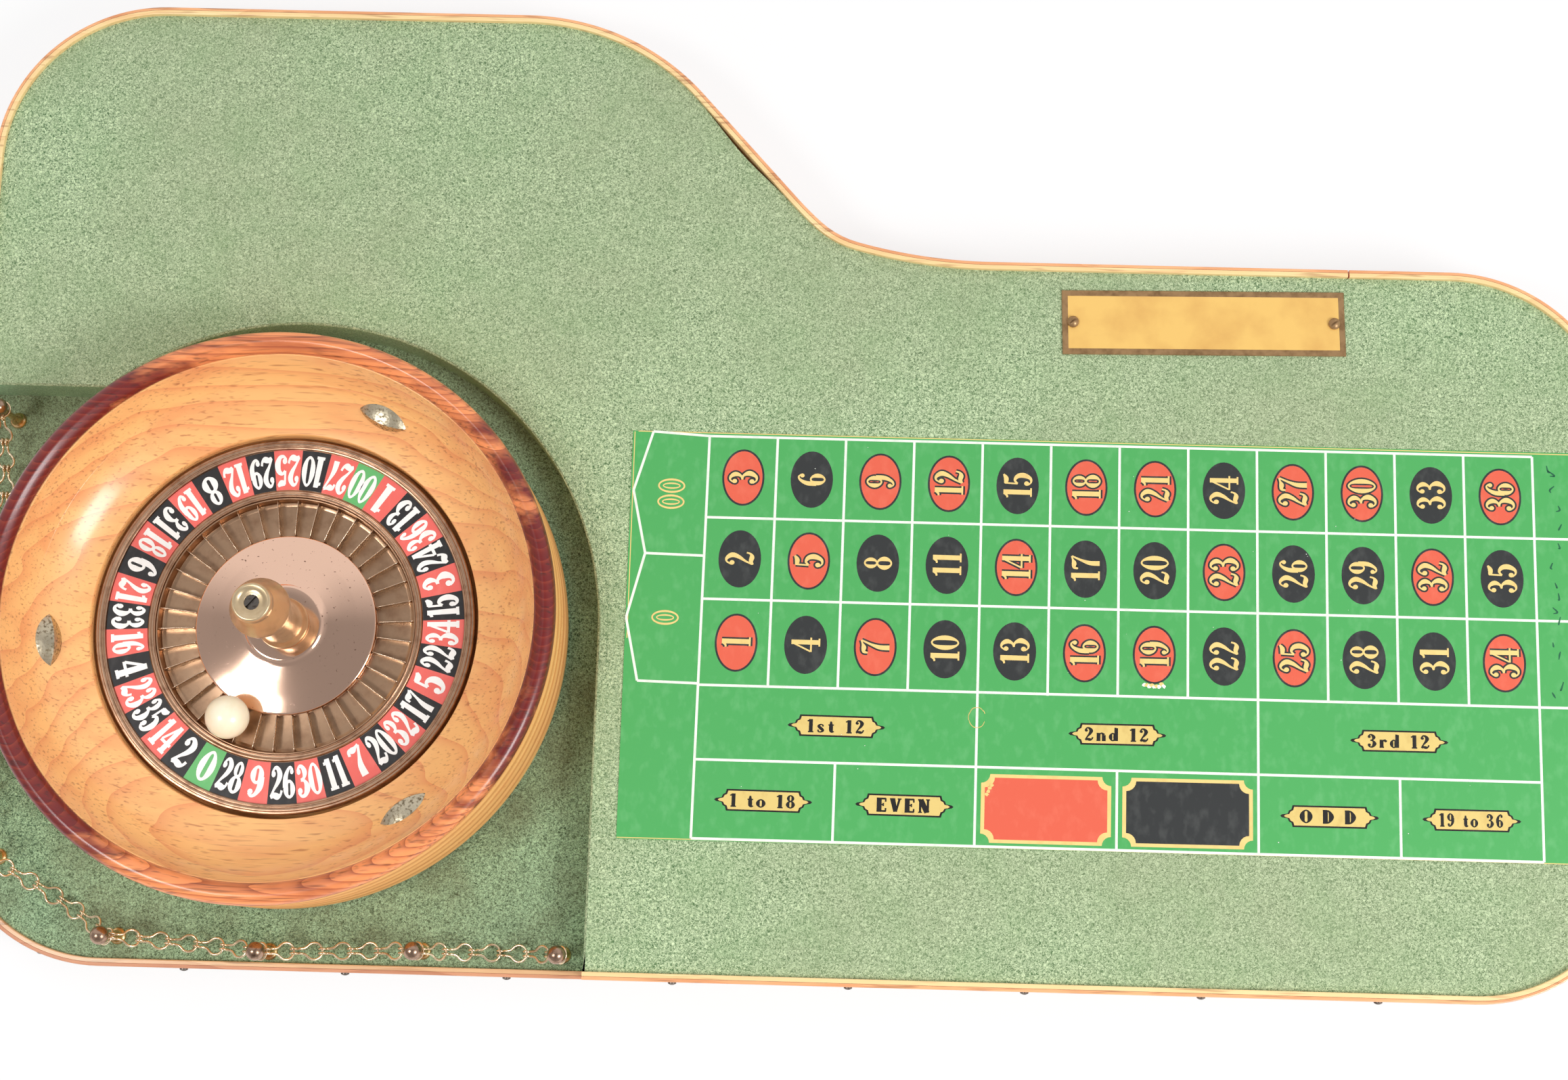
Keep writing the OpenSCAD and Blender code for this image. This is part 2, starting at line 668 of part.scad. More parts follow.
// A canoe-shaped body: two spheres meet in its ridge
module deflector_body() {
    a = deflector_l / 2;
    b = deflector_w / 2;
    ridge = (a * a / deflector_h + deflector_h) / 2;
    sink = ridge - deflector_h;
    d = (a * a - b * b) / (2 * b);
    r = sqrt(ridge * ridge + d * d);
    intersection() {
        translate([0, d, -sink]) sphere(r = r, $fn = 256);
        translate([0, -d, -sink]) sphere(r = r, $fn = 256);
        translate([-a - 3, -b - 3, -3]) cube([2 * a + 6, 2 * b + 6, 3 + deflector_h + cut]);
    }
}
module ball_deflectors() {
    f = (deflector_at - opening_r) / (rim_inner_r - opening_r) - 0.12;
    seat_h = opening_h + f * (bowl_h - opening_h) - 4 * f * (1 - f) * track_hollow * 0.68;
    seat_tilt = atan2(bowl_h - opening_h, rim_inner_r - opening_r);
    color("darkgray") at_wheel() difference() {
        for (a = [0 : 120 : 240]) rotate(deflector_turn + a) translate([deflector_at, 0, seat_h])
            rotate([0, -seat_tilt, 0]) rotate(90) deflector_body();
        rotate_extrude($fn = 128) bowl_section();
    }
}

// Spindle
spindle_screw_d = 3;
spindle_screw_len = 6;
module spindle() {
    color("silver") at_wheel() difference() {
        union() {
            translate([0, 0, well_h]) cylinder(r = spindle_plate_r, h = spindle_plate_t, $fn = 64);
            translate([0, 0, well_h]) cylinder(r = spindle_r, h = spindle_top - well_h, $fn = 64);
        }
        spindle_screw_holes() translate([0, 0, well_h - cut]) cylinder(d = spindle_screw_d, h = spindle_plate_t + 2 * cut, $fn = 24);
        translate([0, 0, spindle_top + thrust_d / 2 - thrust_d / 4]) sphere(d = thrust_d, $fn = 32);
    }
}
module spindle_screws() {
    color("gray") at_wheel() spindle_screw_holes() {
        translate([0, 0, well_h - spindle_screw_len]) cylinder(d = spindle_screw_d, h = spindle_screw_len + spindle_plate_t, $fn = 24);
        translate([0, 0, well_h + spindle_plate_t]) cylinder(d1 = 5, d2 = 4, h = 0.8, $fn = 24);
    }
}
module thrust_ball() {
    color("lightgray") at_wheel() translate([0, 0, spindle_top + thrust_d / 4]) sphere(d = thrust_d, $fn = 32);
}

// Rotor
thrust_top = spindle_top + thrust_d / 4 + thrust_d / 2;
bore_top = thrust_top + 0.05;
module rotor_casting() {
    seat = rotor_top - ring_drop - number_t;
    color("peru") at_wheel() rotate_extrude($fn = 96) polygon([
        [bush_r, bush_bottom], [spindle_plate_r + 2, bush_bottom], [spindle_plate_r + 4, rotor_under],
        [rotor_r - 0.6, rotor_under], [rotor_r - 0.6, seat - 1], [number_outer_r + 0.2, seat - 1],
        [number_outer_r + 0.2, seat], [number_inner_r - 0.2, seat], [number_inner_r - 0.2, seat - 2],
        [pocket_outer_r + 1, seat - 2], [pocket_outer_r + 1, pocket_floor - 1.2], [cone_r - 1.6, pocket_floor - 1.2],
        [cone_r - 1.6, rotor_plate_h + 1.2], [hub_r + 3, rotor_plate_h + 1.2], [hub_r, rotor_plate_h + 4],
        [hub_r, hub_top], [turret_screw_d / 2, hub_top], [turret_screw_d / 2, bore_top], [spindle_r + spindle_clear, bore_top],
        [spindle_r + spindle_clear, cone_top_h - 2.4], [bush_r, cone_top_h - 2.4]
    ]);
}
module hub_bush() {
    color("gold") at_wheel() translate([0, 0, bush_bottom]) difference() {
        cylinder(r = bush_r, h = cone_top_h - 2.4 - bush_bottom, $fn = 64);
        translate([0, 0, -cut]) cylinder(r = spindle_r + spindle_clear, h = rotor_top, $fn = 64);
    }
}
module rotor_outer_ring() {
    low = rotor_top - ring_drop - number_t - 1;
    w = rotor_r - number_outer_r - 0.2;
    color("rosybrown") at_wheel() rotate_extrude($fn = 128) polygon([
        [number_outer_r + 0.2, low], [rotor_r, low], [rotor_r, rotor_top - 1.2], [rotor_r - 0.5, rotor_top - 0.6],
        [rotor_r - 0.3 * w, rotor_top - 0.6], [rotor_r - 0.34 * w, rotor_top], [rotor_r - 0.62 * w, rotor_top],
        [rotor_r - 0.66 * w, rotor_top - 0.5], [rotor_r - 0.78 * w, rotor_top - 0.5],
        [rotor_r - 0.82 * w, rotor_top - 0.1], [number_outer_r + 0.2, rotor_top - 0.4]
    ]);
}
module number_ring() {
    color("firebrick") at_wheel() translate([0, 0, rotor_top - ring_drop - number_t]) difference() {
        cylinder(r = number_outer_r, h = number_t, $fn = 128);
        translate([0, 0, -cut]) cylinder(r = number_inner_r, h = number_t + 2 * cut, $fn = 128);
    }
}
module rotor_inner_ring() {
    low = rotor_top - ring_drop - number_t - 2;
    top = rotor_top - ring_drop + 0.6;
    outer = number_inner_r - 0.3;
    inner = pocket_outer_r + 0.1;
    color("rosybrown") at_wheel() rotate_extrude($fn = 128) polygon([
        [inner, low], [outer, low], [outer, top - 0.5], [outer - 0.5, top], [outer - 1.2, top],
        [outer - 1.5, top - 0.5], [inner + 0.8, top - 0.5], [inner + 0.5, top - 0.1], [inner, top - 0.4]
    ]);
}
module pocket_ring() {
    color("sienna") at_wheel() {
        rotate_extrude($fn = 128) polygon([
            [cone_r - 1.4, pocket_floor - 1.2], [pocket_outer_r, pocket_floor - 1.2], [pocket_outer_r, fret_top + 0.2],
            [pocket_outer_r - 0.8, fret_top + 0.2], [pocket_outer_r - 1.4, pocket_floor + 0.6],
            [pocket_outer_r - 3, pocket_floor], [cone_r - 0.2, pocket_floor], [cone_r - 1.4, fret_top - 1.4]
        ]);
        for (i = [0 : pockets - 1]) rotate(zero_turn + (i + 0.5) * 360 / pockets)
            translate([cone_r + fret_gap, -fret_t / 2, pocket_floor - 0.4])
                cube([pocket_outer_r - 1 - cone_r - fret_gap, fret_t, fret_h + 0.4]);
    }
}
module cone() {
    rise = cone_top_h - cone_edge_h;
    color("sandybrown") at_wheel() rotate_extrude($fn = 128) polygon([
        [cone_r, cone_edge_h - sheet_metal], [cone_r + 0.4, cone_edge_h - 0.4], [cone_r, cone_edge_h],
        [cone_r - 8, cone_edge_h + 0.3 * rise], [boss_r + 1, cone_edge_h + 0.74 * rise],
        [boss_r - 0.6, cone_edge_h + 0.84 * rise], [boss_r - 1.8, cone_edge_h + rise],
        [hub_r + 0.1, cone_edge_h + rise], [hub_r + 0.1, cone_edge_h + rise - sheet_metal],
        [boss_r - 2.2, cone_edge_h + rise - sheet_metal], [boss_r - 1, cone_edge_h + 0.84 * rise - sheet_metal],
        [cone_r - 8, cone_edge_h + 0.3 * rise - sheet_metal]
    ]);
}

// Turret, as [radius, share of its height] pairs from the flange to the button
turret_curve = [
    [turret_base_r, 0], [turret_base_r, 0.035], [turret_base_r - 1, 0.06], [turret_base_r - 1.9, 0.09],
    [turret_base_r - 2.4, 0.16], [turret_base_r - 3, 0.3], [turret_base_r - 3.1, 0.42],
    [turret_base_r - 2.4, 0.55], [turret_base_r - 1.1, 0.64], [turret_collar_r - 0.5, 0.68],
    [turret_collar_r, 0.7], [turret_collar_r, 0.73], [turret_collar_r - 0.4, 0.75],
    [turret_collar_r - 1.6, 0.8], [turret_collar_r - 3, 0.86], [turret_collar_r - 4.2, 0.905],
    [turret_collar_r - 4.6, 0.92], [turret_collar_r - 4.3, 0.935], [turret_collar_r - 4.3, 0.965],
    [turret_collar_r - 4.8, 0.99], [turret_collar_r - 5.6, 1]
];
module turret() {
    seat = hub_top + 0.1;
    dish = turret_top_h - 0.8;
    color("darkkhaki") at_wheel() rotate_extrude($fn = 96) polygon(concat(
        [[hub_r + 0.1, turret_base_h]],
        [for (p = turret_curve) [p[0], turret_base_h + p[1] * turret_h]],
        [[turret_screw_head_d / 2 + 0.8, dish], [turret_screw_head_d / 2, dish],
         [turret_screw_head_d / 2, dish - turret_screw_head_h - 1], [turret_screw_d / 2, dish - turret_screw_head_h - 1],
         [turret_screw_d / 2, seat], [hub_r + 0.1, seat]]
    ));
}
module turret_screw() {
    head_low = turret_top_h - 0.8 - turret_screw_head_h - 1;
    color("olive") at_wheel() difference() {
        union() {
            translate([0, 0, bore_top + 1]) cylinder(d = turret_screw_d, h = head_low - bore_top - 1, $fn = 32);
            translate([0, 0, head_low]) cylinder(d = turret_screw_head_d, h = turret_screw_head_h, $fn = 32);
        }
        rotate(50) translate([-turret_screw_head_d, -0.6, head_low + turret_screw_head_h - 1.2])
            cube([2 * turret_screw_head_d, 1.2, 2]);
    }
}

module ivory_ball() {
    color("ivory") at_wheel() rotate(zero_turn) translate([ball_at, 0, ball_h]) sphere(d = ball_d, $fn = 64);
}

base_board();
deck_board();
deck_felt();
recess_wall_felt();
recess_floor_felt();
edge_strip_back();
edge_strip_front();
edge_strip_recess();
edge_nails();
deck_screws();
rubber_feet();
foot_screws();
layout_sheet();
nameplate();
nameplate_screws();
fence_posts();
fence_balls();
chain_end_ring();
chain_span_1();
chain_span_2();
chain_span_3();
chain_span_4();
chain_span_5();
chain_span_6();
chain_span_7();
bowl_base();
bowl_middle();
bowl_upper();
rim_ring();
ball_deflectors();
spindle();
spindle_screws();
thrust_ball();
rotor_casting();
rotor_outer_ring();
number_ring();
rotor_inner_ring();
pocket_ring();
cone();
hub_bush();
turret();
turret_screw();
ivory_ball();
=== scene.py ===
# %% [markdown]
# # A table-top roulette set
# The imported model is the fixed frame: felted board, bent plywood edge, turned wheel, rotor, fence. This
# script dresses it. Pieces whose shape is already right keep their mesh and get a finish. Turned and bent
# pieces are made again here, finer, in the same place. Lengths are millimetres in the helpers and are
# turned into metres when a mesh is made.

# %% Load the frame
import math
import random
import bpy
from mathutils import Matrix, Vector, noise


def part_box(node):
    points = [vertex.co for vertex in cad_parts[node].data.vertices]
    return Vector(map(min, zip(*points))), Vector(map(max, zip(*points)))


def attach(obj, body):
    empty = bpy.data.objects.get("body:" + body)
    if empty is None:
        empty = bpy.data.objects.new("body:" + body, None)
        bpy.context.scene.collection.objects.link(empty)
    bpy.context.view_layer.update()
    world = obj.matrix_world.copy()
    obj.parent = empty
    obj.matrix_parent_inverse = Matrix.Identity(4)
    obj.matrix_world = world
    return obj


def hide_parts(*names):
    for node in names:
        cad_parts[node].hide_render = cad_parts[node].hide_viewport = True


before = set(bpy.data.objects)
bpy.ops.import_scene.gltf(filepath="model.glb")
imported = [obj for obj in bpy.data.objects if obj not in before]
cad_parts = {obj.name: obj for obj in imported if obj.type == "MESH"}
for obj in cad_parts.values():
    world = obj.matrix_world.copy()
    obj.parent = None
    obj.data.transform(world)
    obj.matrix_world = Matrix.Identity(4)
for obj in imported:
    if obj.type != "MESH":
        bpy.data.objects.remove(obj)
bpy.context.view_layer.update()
MM = 0.001


def measures(node):
    """Lowest and highest corner of a node in millimetres."""
    low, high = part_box(node)
    return low / MM, high / MM


def solids(node):
    """Middle and top of each separate solid in a node, in millimetres."""
    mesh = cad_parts[node].data
    parent = list(range(len(mesh.vertices)))

    def root(i):
        while parent[i] != i:
            parent[i] = parent[parent[i]]
            i = parent[i]
        return i
    for edge in mesh.edges:
        a, b = edge.vertices
        parent[root(a)] = root(b)
    spot = {}
    for v in mesh.vertices:
        spot.setdefault(tuple(round(c, 6) for c in v.co), []).append(v.index)
    for same in spot.values():
        for i in same[1:]:
            parent[root(i)] = root(same[0])
    groups = {}
    for v in mesh.vertices:
        groups.setdefault(root(v.index), []).append(v.co / MM)
    found = []
    for co in groups.values():
        low = Vector([min(c[k] for c in co) for k in range(3)])
        high = Vector([max(c[k] for c in co) for k in range(3)])
        found.append(((low + high) / 2, high))
    return sorted(found, key=lambda item: (round(item[0].x), round(item[0].y)))


rim_low, rim_high = measures("rim_ring")
wheel = Vector(((rim_low.x + rim_high.x) / 2, (rim_low.y + rim_high.y) / 2, 0))
wheel.z = measures("bowl_base")[0].z
deck_z = measures("deck_felt")[1].z
floor_z = measures("recess_floor_felt")[1].z
half_l = measures("edge_strip_front")[1].x
half_w = measures("edge_strip_back")[1].y
print("wheel at", [round(c, 2) for c in wheel], "deck", round(deck_z, 2), "recess floor", round(floor_z, 2))

# %% [markdown]
# The camera looks almost straight down, a little from the player's side. Its place, tilt and focal length
# come from the photograph's straight edges and circles, so the frame matches without any shift.

# %% Camera
PHOTO_W = 2317
FOCAL_PX = 3130
camera_spot = Vector((10.75, -216.5, 985.7)) * MM
camera_turns = (("X", 11.2695), ("Y", 0.7663), ("Z", 1.4337))

camera_data = bpy.data.cameras.new("camera")
camera_data.sensor_fit = "HORIZONTAL"
camera_data.lens = camera_data.sensor_width * FOCAL_PX / PHOTO_W
camera = bpy.data.objects.new("camera", camera_data)
bpy.context.scene.collection.objects.link(camera)
turn = Matrix.Identity(4)
for axis, degrees in camera_turns:
    turn = turn @ Matrix.Rotation(math.radians(degrees), 4, axis)
camera.matrix_world = Matrix.Translation(camera_spot) @ turn
bpy.context.scene.camera = camera
print("lens", round(camera_data.lens, 2), "mm")

# %% [markdown]
# Light first, since every finish is judged under it. Two broad square lamps hang high in front, one to the
# left and one to the right. A point lamp would give hard shadows and pinprick glints; a square one gives
# the soft edges that a room's light gives. Colours are written as a picture editor shows them, and a helper
# turns them into the linear light that Blender works with.

# %% Lamps
def linear(r, g, b):
    """Linear colour of an sRGB colour given as 0 to 255."""
    shares = [c / 255 for c in (r, g, b)]
    return tuple(c / 12.92 if c <= 10 / 255 else ((c + 0.055) / 1.055) ** 2.4 for c in shares) + (1.0,)


def lamp(name, spot, target, size, watts):
    """A square area lamp at a spot, turned toward a target; places and size in metres."""
    data = bpy.data.lights.new(name, "AREA")
    data.shape = "SQUARE"
    data.size = size
    data.energy = watts
    light = bpy.data.objects.new(name, data)
    light.location = spot
    light.rotation_euler = (Vector(target) - Vector(spot)).to_track_quat("-Z", "Y").to_euler()
    bpy.context.scene.collection.objects.link(light)


lamp("key_lamp", spot=(-0.95, -0.5, 1.6), target=(-0.1, -0.05, 0), size=0.46, watts=11)
lamp("fill_lamp", spot=(1.15, -0.75, 1.25), target=(0.05, -0.05, 0), size=0.6, watts=18)
print("middle grey in linear light:", linear(128, 128, 128)[0])

# %% [markdown]
# Shaders are graphs of nodes, and wiring one node takes several lines. These small helpers add a node, set
# or link its inputs, and hand back what comes out, so that a finish below reads like a sum instead of a
# parts list.

# %% Node helpers
def node(tree, kind, inputs=None, **settings):
    """A node in a tree. An input given as a socket is linked, and any other is set."""
    made = tree.nodes.new(kind)
    for key, value in settings.items():
        setattr(made, key, value)
    for key, value in (inputs or {}).items():
        if isinstance(value, bpy.types.NodeSocket):
            tree.links.new(value, made.inputs[key])
        else:
            made.inputs[key].default_value = value
    return made


def math_node(tree, operation, a, b=0.0):
    return node(tree, "ShaderNodeMath", {0: a, 1: b}, operation=operation).outputs[0]


def vector_node(tree, operation, a, b):
    return node(tree, "ShaderNodeVectorMath", {0: a, 1: b}, operation=operation).outputs[0]


def noise_node(tree, vector, **values):
    return node(tree, "ShaderNodeTexNoise", {"Vector": vector, **values}).outputs[0]


def remap(tree, value, low, high, to_low=0.0, to_high=1.0):
    """A value's range low to high stretched to another range, and held within it."""
    return node(tree, "ShaderNodeMapRange", {0: value, 1: low, 2: high, 3: to_low, 4: to_high}).outputs[0]


print("kinds of shader node:", len([kind for kind in dir(bpy.types) if kind.startswith("ShaderNode")]))

# %% [markdown]
# Polished metal and varnish show what is round them. A whole room could be modelled, but a world whose
# brightness changes with direction is quicker and leaves no shadow: bright toward the back, paler near the
# floor than overhead, and brighter to the right. Each glow is two values of a direction, and the brightness
# at each. The camera itself sees plain white behind the object.

# %% World
BACK_GLOW = (0.02, 0.42, 0.0, 0.9)
FLOOR_GLOW = (0.9, 0.3, 0.34, 0.52)
RIGHT_GLOW = (0.2, 0.8, 0.34, 0.66)
world = bpy.data.worlds.new("studio")
bpy.context.scene.world = world
world.use_nodes = True
sky = world.node_tree
sky.nodes.clear()
facing = node(sky, "ShaderNodeTexCoord")
toward = node(sky, "ShaderNodeSeparateXYZ", {0: facing.outputs["Generated"]})
brightness = remap(sky, toward.outputs["Y"], *BACK_GLOW)
for axis, glow in (("Z", FLOOR_GLOW), ("X", RIGHT_GLOW)):
    brightness = math_node(sky, "MAXIMUM", brightness, remap(sky, toward.outputs[axis], *glow))
lit = node(sky, "ShaderNodeBackground", {"Color": linear(250, 250, 252), "Strength": brightness})
seen = node(sky, "ShaderNodeBackground", {"Color": (1, 1, 1, 1)})
rays = node(sky, "ShaderNodeLightPath")
either = node(sky, "ShaderNodeMixShader", {
    0: rays.outputs["Is Camera Ray"], 1: lit.outputs[0], 2: seen.outputs[0]})
node(sky, "ShaderNodeOutputWorld", {"Surface": either.outputs[0]})
bpy.context.scene.view_settings.view_transform = "Standard"
print("world nodes:", len(sky.nodes))

# %% [markdown]
# A material is plain values on one shader, plus colours and relief that vary from place to place. An effect
# that several finishes share could be copied into each, but as a node group it is built once and changed in
# one place.

# %% Material helpers
finishes_made = []


def material(name, colour, roughness=0.5, metallic=0.0, **values):
    """A material with plain values; an underscore in a value's name stands for a space."""
    mat = bpy.data.materials.new(name)
    mat.use_nodes = True
    shader = mat.node_tree.nodes["Principled BSDF"]
    shader.inputs["Base Color"].default_value = linear(*colour)
    shader.inputs["Roughness"].default_value = roughness
    shader.inputs["Metallic"].default_value = metallic
    for socket, value in values.items():
        shader.inputs[socket.replace("_", " ")].default_value = value
    finishes_made.append(name)
    return mat


def group(name, inputs, outputs):
    """A node group with inputs {name: default} and number outputs named in a list."""
    made = bpy.data.node_groups.new(name, "ShaderNodeTree")
    for label, default in inputs.items():
        kind = "NodeSocketVector" if isinstance(default, tuple) else "NodeSocketFloat"
        made.interface.new_socket(label, in_out="INPUT", socket_type=kind).default_value = default
    for label in outputs:
        made.interface.new_socket(label, in_out="OUTPUT", socket_type="NodeSocketFloat")
    given = made.nodes.new("NodeGroupInput").outputs
    place_in = node(made, "ShaderNodeTexCoord").outputs["Object"]
    return made, given, made.nodes.new("NodeGroupOutput").inputs, place_in


def place(mat, grouped, **values):
    """A node group placed in a material with its own values."""
    made = node(mat.node_tree, "ShaderNodeGroup", node_tree=grouped)
    for label, value in values.items():
        made.inputs[label.replace("_", " ")].default_value = value
    return made.outputs


def blend_colours(mat, factor, low, high):
    """Colour between two, each an sRGB triple or a socket, by a varying factor."""
    sides = [c if isinstance(c, bpy.types.NodeSocket) else linear(*c) for c in (low, high)]
    inputs = {0: factor, 6: sides[0], 7: sides[1]}
    return node(mat.node_tree, "ShaderNodeMix", inputs, data_type="RGBA").outputs[2]


def feed(mat, socket, value):
    mat.node_tree.links.new(value, mat.node_tree.nodes["Principled BSDF"].inputs[socket])


def bump(mat, height, distance, strength=1.0):
    """Surface relief of a height, distance in millimetres."""
    relief = {"Height": height, "Distance": distance * MM, "Strength": strength}
    feed(mat, "Normal", node(mat.node_tree, "ShaderNodeBump", relief).outputs[0])


print("view transform:", bpy.context.scene.view_settings.view_transform)


# %% [markdown]
# The first shared effect is a mottle: noise stretched by a vector and cut to a mask. Tarnish on the metals
# and scuffs on the printed colours are mottles at different scales. It could be painted by hand, but noise
# in the object's own space needs no unwrapping and goes round every corner.

# %% Group: mottle
mottle, given, result, place_in = group(
    "mottle", {"Scale": 10.0, "Detail": 4.0, "Stretch": (1.0, 1.0, 1.0), "Low": 0.4, "High": 0.6},
    ["Mask", "Height"])
stretched = vector_node(mottle, "MULTIPLY", place_in, given["Stretch"])
spots = noise_node(mottle, stretched, Scale=given["Scale"], Detail=given["Detail"])
mottle.links.new(remap(mottle, spots, given["Low"], given["High"]), result["Mask"])
mottle.links.new(spots, result["Height"])
print("mottle nodes:", len(mottle.nodes))

# %% [markdown]
# Wood is sawn from a log, so its figure is a slice through long rings. The group bends a slowly rising
# value with noise and keeps its fraction: each jump is the dark end of one year's growth. Pores are short
# dark dashes along the grain, and streaks are broader bands of colour. The grain runs along X, as it does
# on every board here.

# %% Group: timber
ALONG_GRAIN = (0.22, 1.0, 1.0)
PORE_LENGTH = (0.3, 1.0, 1.0)
timber, given, result, place_in = group(
    "timber", {"Rings": 60.0, "Bend": 9.0, "Pore Scale": 700.0, "Pore Cut": 0.58, "Shift": (0.0, 0.0, 0.0)},
    ["Figure", "Pores", "Streaks", "Across"])
moved = vector_node(timber, "ADD", place_in, given["Shift"])
lengthways = vector_node(timber, "MULTIPLY", moved, ALONG_GRAIN)
wander = noise_node(timber, lengthways, Scale=11.0, Detail=3.0, Roughness=0.45)
parts = node(timber, "ShaderNodeSeparateXYZ", {0: lengthways}).outputs
rising = math_node(timber, "MULTIPLY", math_node(timber, "ADD", parts["Y"], parts["Z"]), given["Rings"])
bent = math_node(timber, "ADD", rising, math_node(timber, "MULTIPLY", wander, given["Bend"]))
year = math_node(timber, "FRACT", bent)
timber.links.new(math_node(timber, "POWER", year, 4.0), result["Figure"])
thin = vector_node(timber, "MULTIPLY", lengthways, PORE_LENGTH)
pores = noise_node(timber, thin, Scale=given["Pore Scale"], Detail=1.0, Distortion=0.2)
timber.links.new(remap(timber, pores, given["Pore Cut"], 0.75), result["Pores"])
timber.links.new(noise_node(timber, lengthways, Scale=75.0, Detail=4.0, Distortion=0.4), result["Streaks"])
# Distance along the grain from the wood's middle; on the rim it drives the darkening that carries painted
# shade.
grain_distance = node(timber, "ShaderNodeSeparateXYZ", {0: moved}).outputs["X"]
timber.links.new(math_node(timber, "ABSOLUTE", grain_distance), result["Across"])
print("timber nodes:", len(timber.nodes))

# %% [markdown]
# Baize is fulled wool: a nap of short fibres with no weave to see. Real hairs could be grown on it, but
# from arm's length they only show as light and dark tufts. The group gives two sizes of tuft as colour and
# height, and broad stains and smaller soil from years of play.

# %% Group: nap
nap, given, result, place_in = group(
    "nap", {"Tuft Scale": 1100.0, "Stain Scale": 7.0}, ["Tuft", "Stain", "Soil", "Height"])
tufts = noise_node(nap, place_in, Scale=given["Tuft Scale"], Detail=2.0, Roughness=0.6, Distortion=1.0)
fibres = noise_node(nap, place_in, Scale=2600.0, Detail=1.0)
both = math_node(nap, "ADD", tufts, math_node(nap, "MULTIPLY", fibres, 0.5))
nap.links.new(remap(nap, both, 0.56, 0.94), result["Tuft"])
nap.links.new(both, result["Height"])
stain = noise_node(nap, place_in, Scale=given["Stain Scale"], Detail=3.0, Roughness=0.55)
nap.links.new(remap(nap, stain, 0.35, 0.65), result["Stain"])
soil = noise_node(nap, place_in, Scale=46.0, Detail=4.0)
nap.links.new(remap(nap, soil, 0.42, 0.72), result["Soil"])
print("node groups:", sorted(g.name for g in bpy.data.node_groups))


# %% [markdown]
# Now the finishes themselves. Felt first: the deck is a clear faded green, the recess floor the same cloth
# with brown soil worked into it, and the recess wall, which is seldom touched, has the fewest stains. One
# function makes all three, so they stay the same cloth and differ only in colour and age.

# %% Felt
def baize(name, tuft_dark, tuft_light, stain_colour, stain_share, soil_colour, soil_share):
    mat = material(name, tuft_light, roughness=0.95, Sheen_Weight=0.25, Sheen_Roughness=0.6,
                   Specular_IOR_Level=0.15)
    cloth = place(mat, nap)
    colour = blend_colours(mat, cloth["Tuft"], tuft_dark, tuft_light)
    for mask, share, aged in (("Stain", stain_share, stain_colour), ("Soil", soil_share, soil_colour)):
        colour = blend_colours(mat, math_node(mat.node_tree, "MULTIPLY", cloth[mask], share), colour, aged)
    feed(mat, "Base Color", colour)
    bump(mat, cloth["Height"], 0.7)
    return mat


deck_baize = baize("deck_baize", (56, 104, 50), (234, 253, 204), (168, 174, 136), 0.4, (136, 174, 116), 0.25)
floor_baize = baize("floor_baize", (44, 82, 46), (196, 232, 184), (134, 124, 90), 0.42, (104, 98, 64), 0.4)
wall_baize = baize("wall_baize", (74, 130, 76), (170, 214, 152), (120, 160, 108), 0.3, (96, 120, 80), 0.2)
print("felts:", finishes_made)


# %% [markdown]
# The timber group gives each wood its figure and pores, and varnish is the shader's coat. The bowl's outer
# side and the boards' cut edges have none, so they don't mirror the green cloth. The rim is a dark red wood
# whose deep red heartwood darkens it toward its left and right; painted shade makes the left side darkest.
# The bowl's side shows the edges of thin glued layers as faint level lines.

# %% Woods
PLY_LINE = 0.58


def add_figure(mat, grain, colour, dark, pore, figure_share):
    """Dark year rings, then pores, over a colour."""
    for mask, share, tint in (("Figure", figure_share, dark), ("Pores", 0.6, pore)):
        colour = blend_colours(mat, math_node(mat.node_tree, "MULTIPLY", grain[mask], share), colour, tint)
    return colour


def add_plies(mat, colour, line_colour, pitch, share):
    """Level lines between glued layers about pitch millimetres apart."""
    tree = mat.node_tree
    where = node(tree, "ShaderNodeTexCoord")
    waves = {"Vector": where.outputs["Object"], "Scale": PLY_LINE * math.pi / (10 * pitch * MM),
             "Distortion": 1.2, "Detail Scale": 0.4}
    bands = node(tree, "ShaderNodeTexWave", waves, bands_direction="Z")
    edge = remap(tree, bands.outputs["Fac"], 0.4, 1.0)
    return blend_colours(mat, math_node(tree, "MULTIPLY", edge, share), colour, line_colour)


def timbered(name, light, dark, pore, figure_share, streak_share, coat=0.6, roughness=0.35, shine=0.5,
             heart_and_shade=None, plies=None, **values):
    """A wood. Its darkening (colour, near, far) goes to that colour between two distances along the grain:
    deep red heartwood, and on the rim also painted shade on its left side.
    """
    mat = material(name, light, roughness=roughness, Coat_Weight=coat, Coat_Roughness=0.16,
                   Specular_IOR_Level=shine)
    tree = mat.node_tree
    grain = place(mat, timber, **values)
    streak = remap(tree, grain["Streaks"], 0.45, 0.7)
    colour = blend_colours(mat, math_node(tree, "MULTIPLY", streak, streak_share), light, dark)
    # Darkening toward the ends along the grain: deep red heartwood, and on the rim painted shade on its left
    # side.
    if heart_and_shade:
        deep, near, far = heart_and_shade
        ragged = math_node(tree, "MULTIPLY", grain["Streaks"], 0.11)
        ends = remap(tree, math_node(tree, "ADD", grain["Across"], ragged), near, far)
        colour = blend_colours(mat, ends, colour, deep)
    colour = add_figure(mat, grain, colour, dark, pore, figure_share)
    if plies:
        colour = add_plies(mat, colour, *plies)
    feed(mat, "Base Color", colour)
    bump(mat, grain["Pores"], -0.03, 0.6)
    return mat
